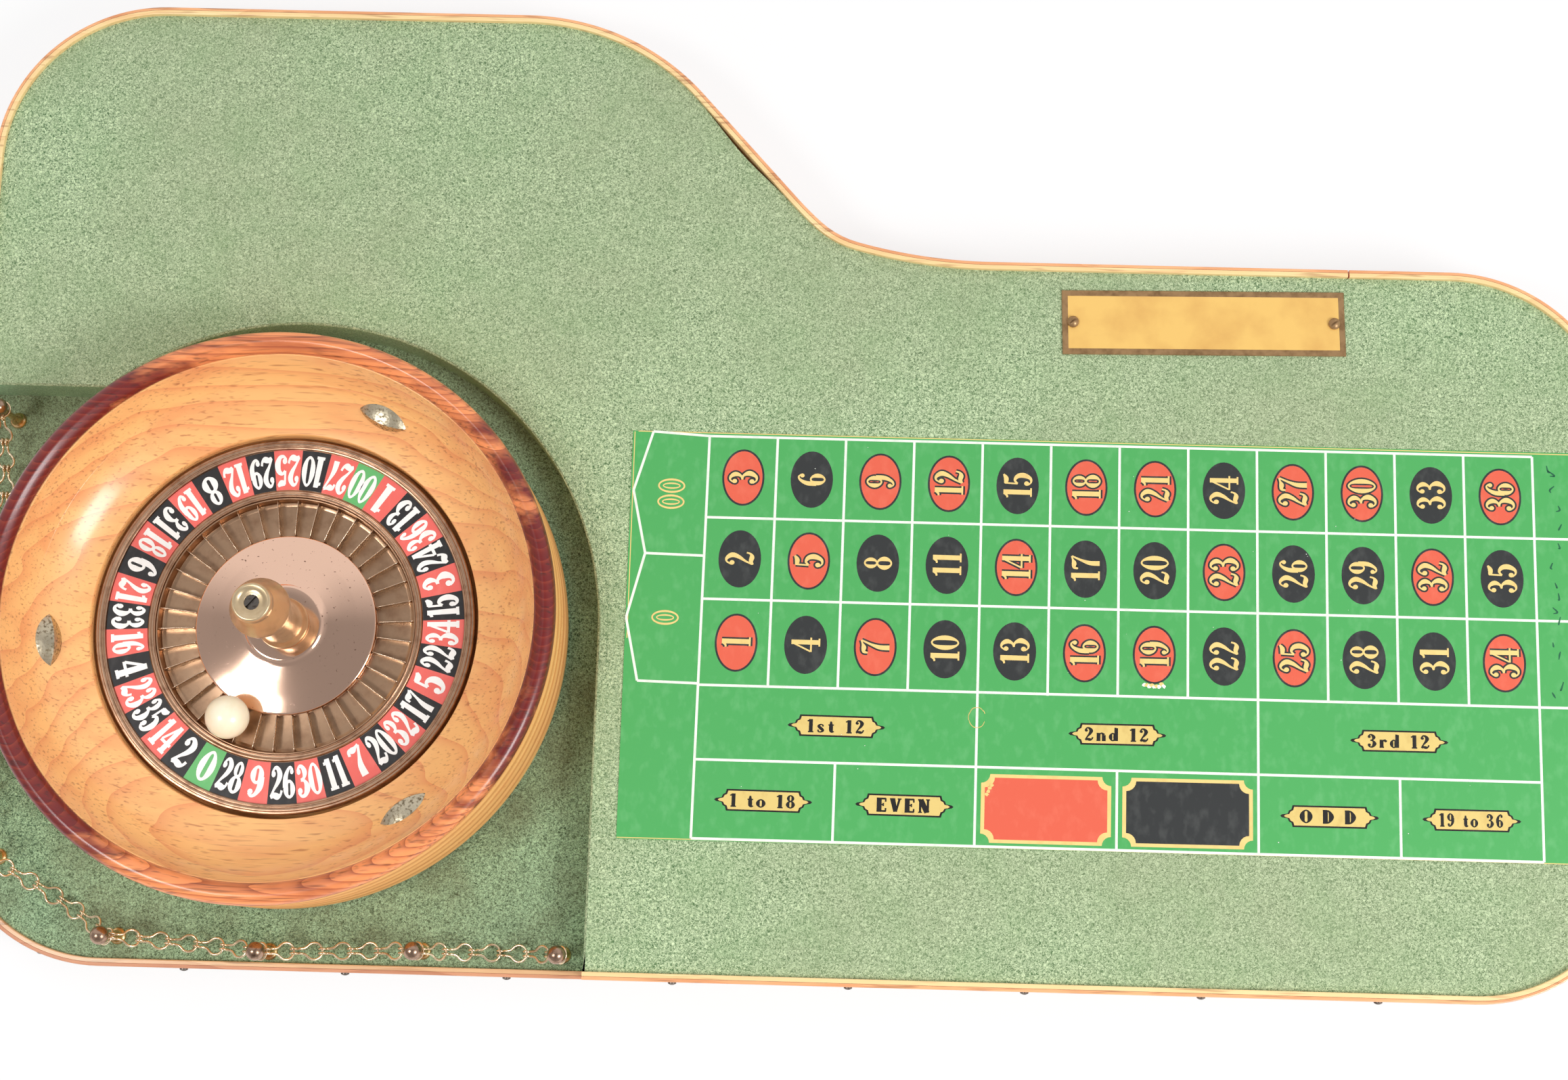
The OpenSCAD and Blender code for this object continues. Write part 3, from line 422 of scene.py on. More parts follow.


# The darkening's middle sits right of the wheel, so the rim's left side gets the most: that extra darkness is
# painted shade.
LEFT_SHADE_OFFSET = 22.0
rim_shift = (-(wheel.x + LEFT_SHADE_OFFSET) * MM, -wheel.y * MM, 0.0)
track_wood = timbered("track_wood", (255, 194, 122), (232, 136, 86), (168, 92, 54), 0.6, 0.45,
                      Pore_Scale=900.0)
side_wood = timbered("side_wood", (255, 196, 124), (250, 150, 84), (200, 110, 60), 0.4, 0.2, coat=0.0,
                     roughness=0.6, shine=0.15, plies=((214, 126, 60), 6.4, 0.6), Rings=620.0, Bend=2.0,
                     Pore_Cut=0.66)
rim_wood = timbered("rim_wood", (255, 156, 94), (150, 54, 28), (52, 18, 12), 0.75, 0.8, coat=0.35,
                    heart_and_shade=((112, 16, 12), 0.118, 0.145), Shift=rim_shift, Rings=230.0, Bend=12.0,
                    Pore_Cut=0.54)
ply_core = timbered("ply_core", (206, 170, 122), (178, 134, 88), (120, 84, 54), 0.5, 0.5, coat=0.0,
                    roughness=0.7)
strip_inner = timbered("strip_inner", (255, 222, 160), (236, 178, 114), (160, 104, 60), 0.4, 0.4, coat=0.3)
strip_outer = timbered("strip_outer", (250, 184, 130), (214, 132, 84), (130, 72, 44), 0.4, 0.6, coat=0.3)
worn_inner = timbered("worn_inner", (232, 186, 136), (196, 138, 92), (120, 84, 56), 0.5, 0.7, coat=0.2)
worn_outer = timbered("worn_outer", (222, 158, 120), (176, 110, 80), (104, 66, 48), 0.5, 0.8, coat=0.2)
glue_line = material("glue_line", (150, 88, 50), roughness=0.6)
print("felts and woods:", len(finishes_made))


# %% [markdown]
# Metals: the rotor is a brown patinated casting, the cone spun copper with dark age spots, the turret and
# the fence brass. Each gets tarnish from the mottle group, which also roughens the metal. A row gives the
# clean and the tarnished colour, how fine the spots are, where they begin and end, and how rough clean and
# tarnished are.

# %% Metals
def worn_metal(name, clean, tarnish, scale, low, high, rough_clean, rough_tarnish, relief=0.02, metallic=1.0):
    mat = material(name, clean, roughness=rough_clean, metallic=metallic)
    spots = place(mat, mottle, Scale=scale, Detail=6.0, Low=low, High=high)
    feed(mat, "Base Color", blend_colours(mat, spots["Mask"], clean, tarnish))
    feed(mat, "Roughness", remap(mat.node_tree, spots["Mask"], 0, 1, rough_clean, rough_tarnish))
    bump(mat, spots["Height"], relief)
    return mat


# The frets are the same cast bronze as the pockets; their paler colour is painted highlight for the bright
# fret lines.
fret_highlight_bronze = worn_metal("fret_highlight_bronze", (226, 206, 182), (172, 148, 122), 300, 0.45, 0.75, 0.26, 0.42, 0.004)
ring_bronze = worn_metal("ring_bronze", (196, 160, 132), (140, 106, 84), 200, 0.45, 0.75, 0.28, 0.42, 0.006)
pocket_bronze = worn_metal("pocket_bronze", (190, 154, 124), (138, 104, 80), 160, 0.45, 0.8, 0.28, 0.4, 0.008)
cone_copper = worn_metal("cone_copper", (246, 204, 178), (124, 94, 78), 620, 0.66, 0.74, 0.11, 0.35, 0.001)
turret_brass = worn_metal("turret_brass", (216, 192, 154), (180, 154, 116), 130, 0.45, 0.8, 0.3, 0.42, 0.004,
                          0.8)
post_brass = worn_metal("post_brass", (232, 196, 140), (150, 112, 70), 500, 0.45, 0.75, 0.25, 0.45)
ball_bronze = worn_metal("ball_bronze", (176, 146, 124), (104, 78, 60), 420, 0.45, 0.75, 0.22, 0.4, 0.01)
chain_brass = worn_metal("chain_brass", (246, 222, 186), (180, 144, 106), 320, 0.45, 0.75, 0.22, 0.4)
pewter = worn_metal("pewter", (206, 194, 168), (122, 110, 88), 800, 0.48, 0.66, 0.3, 0.55, 0.1)
nail_steel = worn_metal("nail_steel", (120, 114, 108), (64, 56, 50), 600, 0.4, 0.7, 0.25, 0.5)
plain_steel = worn_metal("plain_steel", (196, 194, 188), (140, 136, 128), 300, 0.45, 0.7, 0.28, 0.45)
plate_gold = worn_metal("plate_gold", (255, 208, 118), (232, 178, 98), 60, 0.4, 0.8, 0.32, 0.42, 0.004, 0.3)
plate_bronze = worn_metal("plate_bronze", (170, 134, 92), (130, 98, 62), 260, 0.4, 0.7, 0.35, 0.5, 0.01, 0.45)
bush_brass = worn_metal("bush_brass", (220, 182, 112), (170, 130, 74), 300, 0.5, 0.7, 0.25, 0.4)
print("felts, woods and metals:", len(finishes_made))


# %% [markdown]
# The printed colours, on the layout sheet and on the number ring, are enamel with fine scuffs. The ball and
# the rubber feet are made the same way: the ball gets a thin coat and lets a little light in, as ivory
# does.

# %% Printed colours
def enamel(name, colour, scuffed, share=0.35, roughness=0.4, coat=0.0, **values):
    mat = material(name, colour, roughness=roughness, Coat_Weight=coat, Coat_Roughness=0.2, **values)
    spots = place(mat, mottle, Scale=260.0, Detail=8.0, Low=0.5, High=0.72, Stretch=(1.0, 0.6, 1.0))
    mask = math_node(mat.node_tree, "MULTIPLY", spots["Mask"], share)
    feed(mat, "Base Color", blend_colours(mat, mask, colour, scuffed))
    bump(mat, spots["Height"], 0.01)
    return mat


sheet_green = enamel("sheet_green", (78, 172, 92), (108, 188, 118), 0.5)
print_white = enamel("print_white", (244, 248, 236), (206, 222, 200), 0.5)
print_red = enamel("print_red", (230, 100, 74), (240, 124, 98))
print_black = enamel("print_black", (46, 48, 48), (82, 84, 82), 0.45)
print_gold = enamel("print_gold", (244, 212, 134), (226, 188, 110), 0.5)
print_pen = enamel("print_pen", (30, 96, 66), (52, 128, 84), 0.5)
print_brass = enamel("print_brass", (230, 202, 122), (206, 172, 96), 0.5)
print_ink = enamel("print_ink", (22, 18, 16), (60, 56, 52), 0.3)
ring_red = enamel("ring_red", (240, 110, 100), (250, 140, 130), 0.3, 0.3, 0.3)
ring_black = enamel("ring_black", (38, 36, 36), (70, 68, 66), 0.4, 0.3, 0.3)
ring_green = enamel("ring_green", (104, 188, 112), (140, 204, 140), 0.4, 0.3, 0.3)
ring_white = enamel("ring_white", (252, 252, 248), (232, 230, 222), 0.4, 0.35)
ivory = enamel("ivory", (255, 247, 218), (248, 234, 198), 0.4, 0.25, 0.4, Subsurface_Weight=0.15,
               Subsurface_Radius=(0.004, 0.003, 0.002))
rubber = enamel("rubber", (34, 34, 34), (60, 60, 58), 0.4, 0.8)
print("all finishes:", len(finishes_made))


# %% [markdown]
# Every piece below is made from points and faces that a loop works out. Modelling by hand would do for one,
# but a loop can be read, changed and made finer. `build` turns points in millimetres into a piece that
# rides on its body; `Heap` gathers many small shapes into one piece first, since one piece with a thousand
# strokes is handled faster than a thousand pieces.

# %% Mesh helpers
def build(name, points, faces, mats, body, smooth=True, face_mats=None, slot=None):
    mesh = bpy.data.meshes.new(name)
    mesh.from_pydata([Vector(p) * MM for p in points], [], faces)
    for mat in mats:
        mesh.materials.append(mat)
    if face_mats:
        mesh.polygons.foreach_set("material_index", face_mats)
    mesh.polygons.foreach_set("use_smooth", [smooth] * len(mesh.polygons))
    mesh.validate()
    mesh.update()
    made = bpy.data.objects.new(name, mesh)
    bpy.context.scene.collection.objects.link(made)
    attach(made, body)
    return made


class Heap:
    """Gathers points and faces of many small shapes into one mesh."""

    def __init__(self):
        self.points, self.faces, self.kinds = [], [], []

    def add(self, points, faces, kind=0):
        start = len(self.points)
        self.points += [Vector(p) for p in points]
        self.faces += [tuple(i + start for i in face) for face in faces]
        self.kinds += [kind] * len(faces)

    def build(self, name, mats, body, **options):
        return build(name, self.points, self.faces, mats, body, face_mats=self.kinds, **options)


def skin(rows, columns, round_rows=False, round_columns=True, start=0, flip=False):
    """Faces between neighbouring rows of points. Round rows or columns end where they begin."""
    faces = []
    for k in range(rows if round_rows else rows - 1):
        a, b = start + k * columns, start + (k + 1) % rows * columns
        for i in range(columns if round_columns else columns - 1):
            j = (i + 1) % columns
            faces.append((a + i, a + j, b + j, b + i) if flip else (a + i, b + i, b + j, a + j))
    return faces


def round_points(centre, radius, count):
    """Points of a circle, from its right side round to the left."""
    turns = [2 * math.pi * k / count for k in range(count)]
    return [(centre[0] + radius * math.cos(t), centre[1] + radius * math.sin(t)) for t in turns]


# %% [markdown]
# The bowl, the rotor's rings, the cone and the turret were all turned on a lathe. Blender has a modifier
# that spins a profile, but making the rings of points directly keeps the count and the axis exact. `soften`
# rounds the profile's corners first, since no turned edge is sharp, and it is the round edge that catches
# light.

# %% Turning
def soften(profile, radius, closed=True, steps=3):
    """Each corner of a profile becomes a short arc that starts radius away from it, or less."""
    count = len(profile)
    result = []
    for i, corner in enumerate(profile):
        if not closed and i in (0, count - 1):
            result.append(Vector(corner))
            continue
        here = Vector(corner)
        before, after = Vector(profile[i - 1]) - here, Vector(profile[(i + 1) % count]) - here
        if before.length < 1e-6 or after.length < 1e-6:
            continue
        a = here + before.normalized() * min(radius, before.length * 0.45)
        b = here + after.normalized() * min(radius, after.length * 0.45)
        for k in range(steps + 1):
            t = k / steps
            result.append(a * (1 - t) ** 2 + here * 2 * t * (1 - t) + b * t ** 2)
    return result


def turned(centre, curve, steps):
    """Points of a curve of (radius, height) turned about an upright axis."""
    points = []
    for k in range(steps):
        x, y = math.cos(2 * math.pi * k / steps), math.sin(2 * math.pi * k / steps)
        points += [centre + Vector((r * x, r * y, h)) for r, h in curve]
    return points


def lathe(name, profile, mat, body, node_name, steps=240, radius=0.3, slot=None):
    """A closed profile of (radius, height) turned about the wheel's axis."""
    curve = soften(profile, radius)
    faces = skin(steps, len(curve), round_rows=True)
    made = build(name, turned(wheel, curve, steps), faces, [mat], body, slot=slot)
    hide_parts(node_name)
    return made


print("wheel's axis at", round(wheel.x, 2), round(wheel.y, 2))

# %% [markdown]
# Wire is a circle carried along a path. A curve object with a round bevel would do the same, but it would
# have to be turned into a mesh afterwards, and points that are made here can go straight into a heap.

# %% Wire
def tube(points, radius, sides=8, closed=False):
    """Points and faces of a round wire along a path."""
    count = len(points)
    path = [Vector(p) for p in points]
    verts = []
    normal = None
    for i, p in enumerate(path):
        before = path[i - 1] if i or closed else p
        after = path[(i + 1) % count] if i < count - 1 or closed else p
        along = (after - before).normalized()
        if normal is None:
            normal = along.orthogonal().normalized()
        normal = (normal - along * normal.dot(along)).normalized()
        side = along.cross(normal)
        for k in range(sides):
            angle = 2 * math.pi * k / sides
            verts.append(p + (normal * math.cos(angle) + side * math.sin(angle)) * radius)
    faces = skin(count, sides, round_rows=closed, flip=True)
    if not closed:
        faces += [tuple(reversed(range(sides))), tuple(range((count - 1) * sides, count * sides))]
    return verts, faces


print("a triangle of wire has", len(tube([(0, 0, 0), (9, 0, 0), (0, 9, 0)], 1.0, closed=True)[1]), "faces")

# %% [markdown]
# The floor is plain and pale. Seen straight by the camera it also glows a little, so that it reads as white
# while the object's shadow still falls on it. A plain white background alone would lose that shadow.

# %% Floor
REACH = 4.0
CAMERA_GLOW = 0.75
floor_mat = material("studio_floor", (250, 250, 250), roughness=0.9)
floor_tree = floor_mat.node_tree
glow = node(floor_tree, "ShaderNodeEmission", {"Color": (1, 1, 1, 1), "Strength": 1.0})
rays = node(floor_tree, "ShaderNodeLightPath")
share = math_node(floor_tree, "MULTIPLY", rays.outputs["Is Camera Ray"], CAMERA_GLOW)
floor_mix = node(floor_tree, "ShaderNodeMixShader", {
    0: share, 1: floor_tree.nodes["Principled BSDF"].outputs[0], 2: glow.outputs[0]})
floor_tree.links.new(floor_mix.outputs[0], floor_tree.nodes["Material Output"].inputs["Surface"])
floor_mesh = bpy.data.meshes.new("studio_floor")
corners = [(-REACH, -REACH, 0), (REACH, -REACH, 0), (REACH, REACH, 0), (-REACH, REACH, 0)]
floor_mesh.from_pydata(corners, [], [(0, 1, 2, 3)])
floor_mesh.materials.append(floor_mat)
floor = bpy.data.objects.new("studio_floor", floor_mesh)
bpy.context.scene.collection.objects.link(floor)
print("floor", 2 * REACH, "m wide")

# %% [markdown]
# The edge of the table is one walk round its outline: straights, round corners, and the S-shaped shoulder.
# It could be a list of points, but straights and arcs that follow each other are how such an edge is laid
# out, and the walk gives the outward direction at every point as well. Each segment is (radius, degrees to
# the left), or (0, length) for a straight.

# %% Outline of the table
STRIP = 3.6
CORNER = 77.0
DEEP_STRAIGHT = 173.0
SHOULDER = 115.0
SHOULDER_TURN = 48.0
SHOULDER_DROP = 118.8
JOINT_FROM_RIGHT = 124.0
JOINT_CRACK = 0.8
SLOPE = 4
bends = [(150.0, 6.0), (42.0, 27.0), (240.0, 15.0)]
wall_x, step_y = measures("edge_strip_recess")[1][:2]

heading = SHOULDER_TURN
bend_drop = bend_run = 0.0
for bend_radius, bend_turn in bends:
    a, b = math.radians(heading), math.radians(heading - bend_turn)
    bend_drop += bend_radius * (math.cos(b) - math.cos(a))
    bend_run += bend_radius * (math.sin(a) - math.sin(b))
    heading -= bend_turn
slope = math.radians(SHOULDER_TURN)
slope_length = (SHOULDER_DROP - SHOULDER * (1 - math.cos(slope)) - bend_drop) / math.sin(slope)
shoulder_end = (-half_l + CORNER + DEEP_STRAIGHT + SHOULDER * math.sin(slope)
                + slope_length * math.cos(slope) + bend_run)
joint_x = half_l - JOINT_FROM_RIGHT
segments = [
    (0, half_w - CORNER - step_y), (CORNER, -90), (0, DEEP_STRAIGHT), (SHOULDER, -SHOULDER_TURN),
    (0, slope_length), *bends,
    (0, joint_x - JOINT_CRACK / 2 - shoulder_end), (0, JOINT_CRACK),
    (0, half_l - CORNER - joint_x - JOINT_CRACK / 2), (CORNER, -90),
    (0, 2 * half_w - SHOULDER_DROP - 2 * CORNER), (CORNER, -90),
    (0, half_l - CORNER - wall_x), (0, wall_x + half_l - CORNER), (CORNER, -90),
    (0, step_y + half_w - CORNER),
]
STEP = 4.0


def edge_walk(first, last):
    """Points and outward normals along segments first to last, as (point, normal, segment, share)."""
    spot, angle = Vector((-half_l, step_y)), math.radians(90)
    result = []
    for index, (radius, amount) in enumerate(segments):
        length = amount if radius == 0 else radius * abs(math.radians(amount))
        count = max(1, round(length / STEP)) if radius or index == SLOPE else 1
        start, start_angle = spot.copy(), angle
        for k in range(count + 1):
            share = k / count
            if radius == 0:
                spot = start + Vector((math.cos(angle), math.sin(angle))) * amount * share
            else:
                way = math.copysign(1, amount)
                angle = start_angle + math.radians(amount) * share
                side_a = Vector((-math.sin(start_angle), math.cos(start_angle)))
                side_b = Vector((-math.sin(angle), math.cos(angle)))
                spot = start + (side_a - side_b) * way * radius
            if first <= index <= last and not (k == 0 and result):
                result.append((spot.copy(), Vector((-math.sin(angle), math.cos(angle))), index, share))
    return result


print("outline", round(2 * half_l), "x", round(2 * half_w), "mm, slope", round(slope_length, 1))


# %% [markdown]
# The plywood strip shows three layers on its top edge: a pale inner ply, a dark line of glue and a redder
# outer ply. Painting three lines on one band would look flat, so one section with a material for each of
# its sides is carried along the walk, and the strip's two ends are closed.

# %% Edge strips
INNER_PLY = 1.95
GLUE = 0.16
RIPPLE = 0.05


def sweep_strip(name, first, last, top, foot, node_name, plies=(strip_outer, strip_inner)):
    """A strip along some segments. Its section is (distance inward, height, ply of the next side)."""
    walk = edge_walk(first, last)
    section = [
        (0.0, foot, 0), (0.0, top - 0.5, 0), (0.18, top - 0.12, 0), (0.6, top, 0),
        (STRIP - INNER_PLY - GLUE, top - 0.05, 1), (STRIP - INNER_PLY, top - 0.05, 2), (STRIP - 0.5, top, 2),
        (STRIP - 0.1, top - 0.15, 2), (STRIP, top - 0.6, 2), (STRIP, foot, 2),
    ]
    points = []
    for spot, out_way, _, _ in walk:
        ripple = abs(RIPPLE * noise.noise(Vector((spot.x, spot.y, 0)) * 0.03))
        for inset, height, _ in section:
            p = spot - out_way * inset
            points.append((p.x, p.y, height - (ripple if height > foot + 1 else 0)))
    n = len(section)
    last_row = (len(walk) - 1) * n
    faces = skin(len(walk), n) + [tuple(reversed(range(n))), tuple(range(last_row, last_row + n))]
    kinds = [ply for _ in walk[1:] for _, _, ply in section] + [0, 0]
    mats = [plies[0], glue_line, plies[1]]
    made = build(name, points, faces, mats, "table", smooth=False, face_mats=kinds, slot="strip_wood")
    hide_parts(node_name)


strip_foot = measures("edge_strip_back")[0].z
strip_top = measures("edge_strip_back")[1].z
low_strip_top = measures("edge_strip_recess")[1].z
sweep_strip("edge_strip_back_bent", 0, 8, strip_top, strip_foot, "edge_strip_back")
sweep_strip("edge_strip_front_bent", 10, 14, strip_top, strip_foot, "edge_strip_front")
sweep_strip("edge_strip_recess_bent", 15, 17, low_strip_top, strip_foot, "edge_strip_recess",
            (worn_outer, worn_inner))
print("strip tops", round(strip_top, 1), "and", round(low_strip_top, 1), "mm")


# %% [markdown]
# The deck's felt is one sheet: flat on top, rolled over the edge of the recess and down its wall. Two
# separate faces would meet in a sharp line that cloth never has, so the sheet turns over the edge in small
# steps. It is made from the same outline as the strips. Along the slope it ends a little short of them,
# since a strip that is bent round a board springs away from it.

# %% Deck felt
SPRING = 1.6
ROLL = 1.1
FUZZ = 0.25
ROLL_DROP = 1.6
RECESS_R = wall_x - wheel.x
meet = wheel.x - math.sqrt(RECESS_R ** 2 - (step_y - wheel.y) ** 2)


def recess_line():
    """The edge of the recess, from the table's left end round to its front, with normals into the recess."""
    left, front = -half_l + STRIP, -half_w + STRIP
    line = [((left + (meet - left) * k / 12, step_y), (0, -1)) for k in range(12)]
    start = math.atan2(step_y - wheel.y, meet - wheel.x)
    for k in range(61):
        x, y = math.cos(start * (1 - k / 60)), math.sin(start * (1 - k / 60))
        line.append(((wheel.x + RECESS_R * x, wheel.y + RECESS_R * y), (-x, -y)))
    line += [((wall_x, wheel.y + (front - wheel.y) * k / 16), (-1, 0)) for k in range(1, 17)]
    return line


def felt_sheet():
    rim = [spot - out_way * (STRIP + (SPRING * math.sin(math.pi * share) ** 2 if index == SLOPE else 0))
           for spot, out_way, index, share in edge_walk(0, 14)]
    edge = recess_line()
    over = ((-1, 0.0), (-0.75, 0.08), (-0.3, 0.36), (-0.06, 0.8), (0, ROLL_DROP))
    rows = [(inward * ROLL, deck_z - drop) for inward, drop in over]
    down = deck_z - ROLL_DROP - floor_z
    rows += [(0.0, deck_z - ROLL_DROP - down * k / 4) for k in (1, 2, 3, 4)]
    points = [(p.x, p.y, deck_z) for p in rim]
    along, across = len(rim), len(edge)
    for inward, z in rows:
        for i, ((x, y), (nx, ny)) in enumerate(edge):
            free = 0 < i < across - 1 and inward > -ROLL
            fuzz = abs(FUZZ * noise.noise(Vector((x, y, z)) * 0.35)) if free else 0
            points.append((x + nx * (inward - fuzz), y + ny * (inward - fuzz), z))
    faces = [tuple(range(along)) + tuple(reversed(range(along, along + across)))]
    faces += skin(len(rows), across, round_columns=False, start=along)
    kinds = [0] + [0 if r < 3 else 1 for r in range(len(rows) - 1) for _ in range(across - 1)]
    made = build("deck_baize", points, faces, [deck_baize, wall_baize], "table", face_mats=kinds,
                 slot="deck_felt")
    made.data.polygons[0].use_smooth = False
    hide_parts("deck_felt", "recess_wall_felt")


felt_sheet()
print("felt rolls over", len(recess_line()), "points of the recess edge")


# %% [markdown]
# Letters and digits are printed with a high-contrast face: thick stems, hairline joins, ball ends.
# Blender's own font is a plain one, and others are files. So each stroke is drawn here as a ribbon of
# changing width along a few points, and round strokes are ovals that are thick at their sides.

# %% Strokes
ROUNDNESS = 1.4


def smooth_path(points, steps=5):
    """A path through the given points, filled in with a Catmull-Rom curve."""
    result = []
    for i in range(len(points) - 1):
        p0, p1 = points[max(i - 1, 0)], points[i]
        p2, p3 = points[i + 1], points[min(i + 2, len(points) - 1)]
        for k in range(steps):
            t = k / steps
            result.append([0.5 * (2 * b + (c - a) * t + (2 * a - 5 * b + 4 * c - d) * t * t
                                  + (3 * b - a - 3 * c + d) * t ** 3) for a, b, c, d in zip(p0, p1, p2, p3)])
    return result + [list(points[-1])]


def stroke(points):
    """Quads along a stroke of (x, y, width)."""
    path = smooth_path(points) if len(points) > 2 else points
    verts = []
    for i, (x, y, w) in enumerate(path):
        ax, ay, _ = path[max(i - 1, 0)]
        bx, by, _ = path[min(i + 1, len(path) - 1)]
        length = math.hypot(bx - ax, by - ay) or 1
        nx, ny = -(by - ay) / length, (bx - ax) / length
        verts += [(x + nx * w / 2, y + ny * w / 2), (x - nx * w / 2, y - ny * w / 2)]
    return verts, [(2 * i, 2 * i + 1, 2 * i + 3, 2 * i + 2) for i in range(len(path) - 1)]


def oval_stroke(cx, cy, rx, ry, thick, thin, steps=28):
    """A round letter stroke, thick at its sides and thin at top and bottom."""
    verts = []
    for k in range(steps):
        a = 2 * math.pi * k / steps
        w = thin + (thick - thin) * abs(math.cos(a)) ** ROUNDNESS
        for s in (1, -1):
            verts.append((cx + (rx + s * w / 2) * math.cos(a), cy + (ry + s * thin / 2) * math.sin(a)))
    sides = [(2 * k, 2 * ((k + 1) % steps)) for k in range(steps)]
    return verts, [(here, there, there + 1, here + 1) for here, there in sides]


def blob(cx, cy, r, steps=14):
    return round_points((cx, cy), r, steps), [tuple(range(steps))]


print("a stroke of three points has", len(stroke([(0, 0, 1), (0, 1, 1), (1, 1, 1)])[1]), "quads")

# %% [markdown]
# A glyph is a list of strokes in a box one high. Widths are drawn for the plain weight, and the same
# strokes make a bold or an outlined face when all widths grow, which is also how a printer's outline colour
# is made.

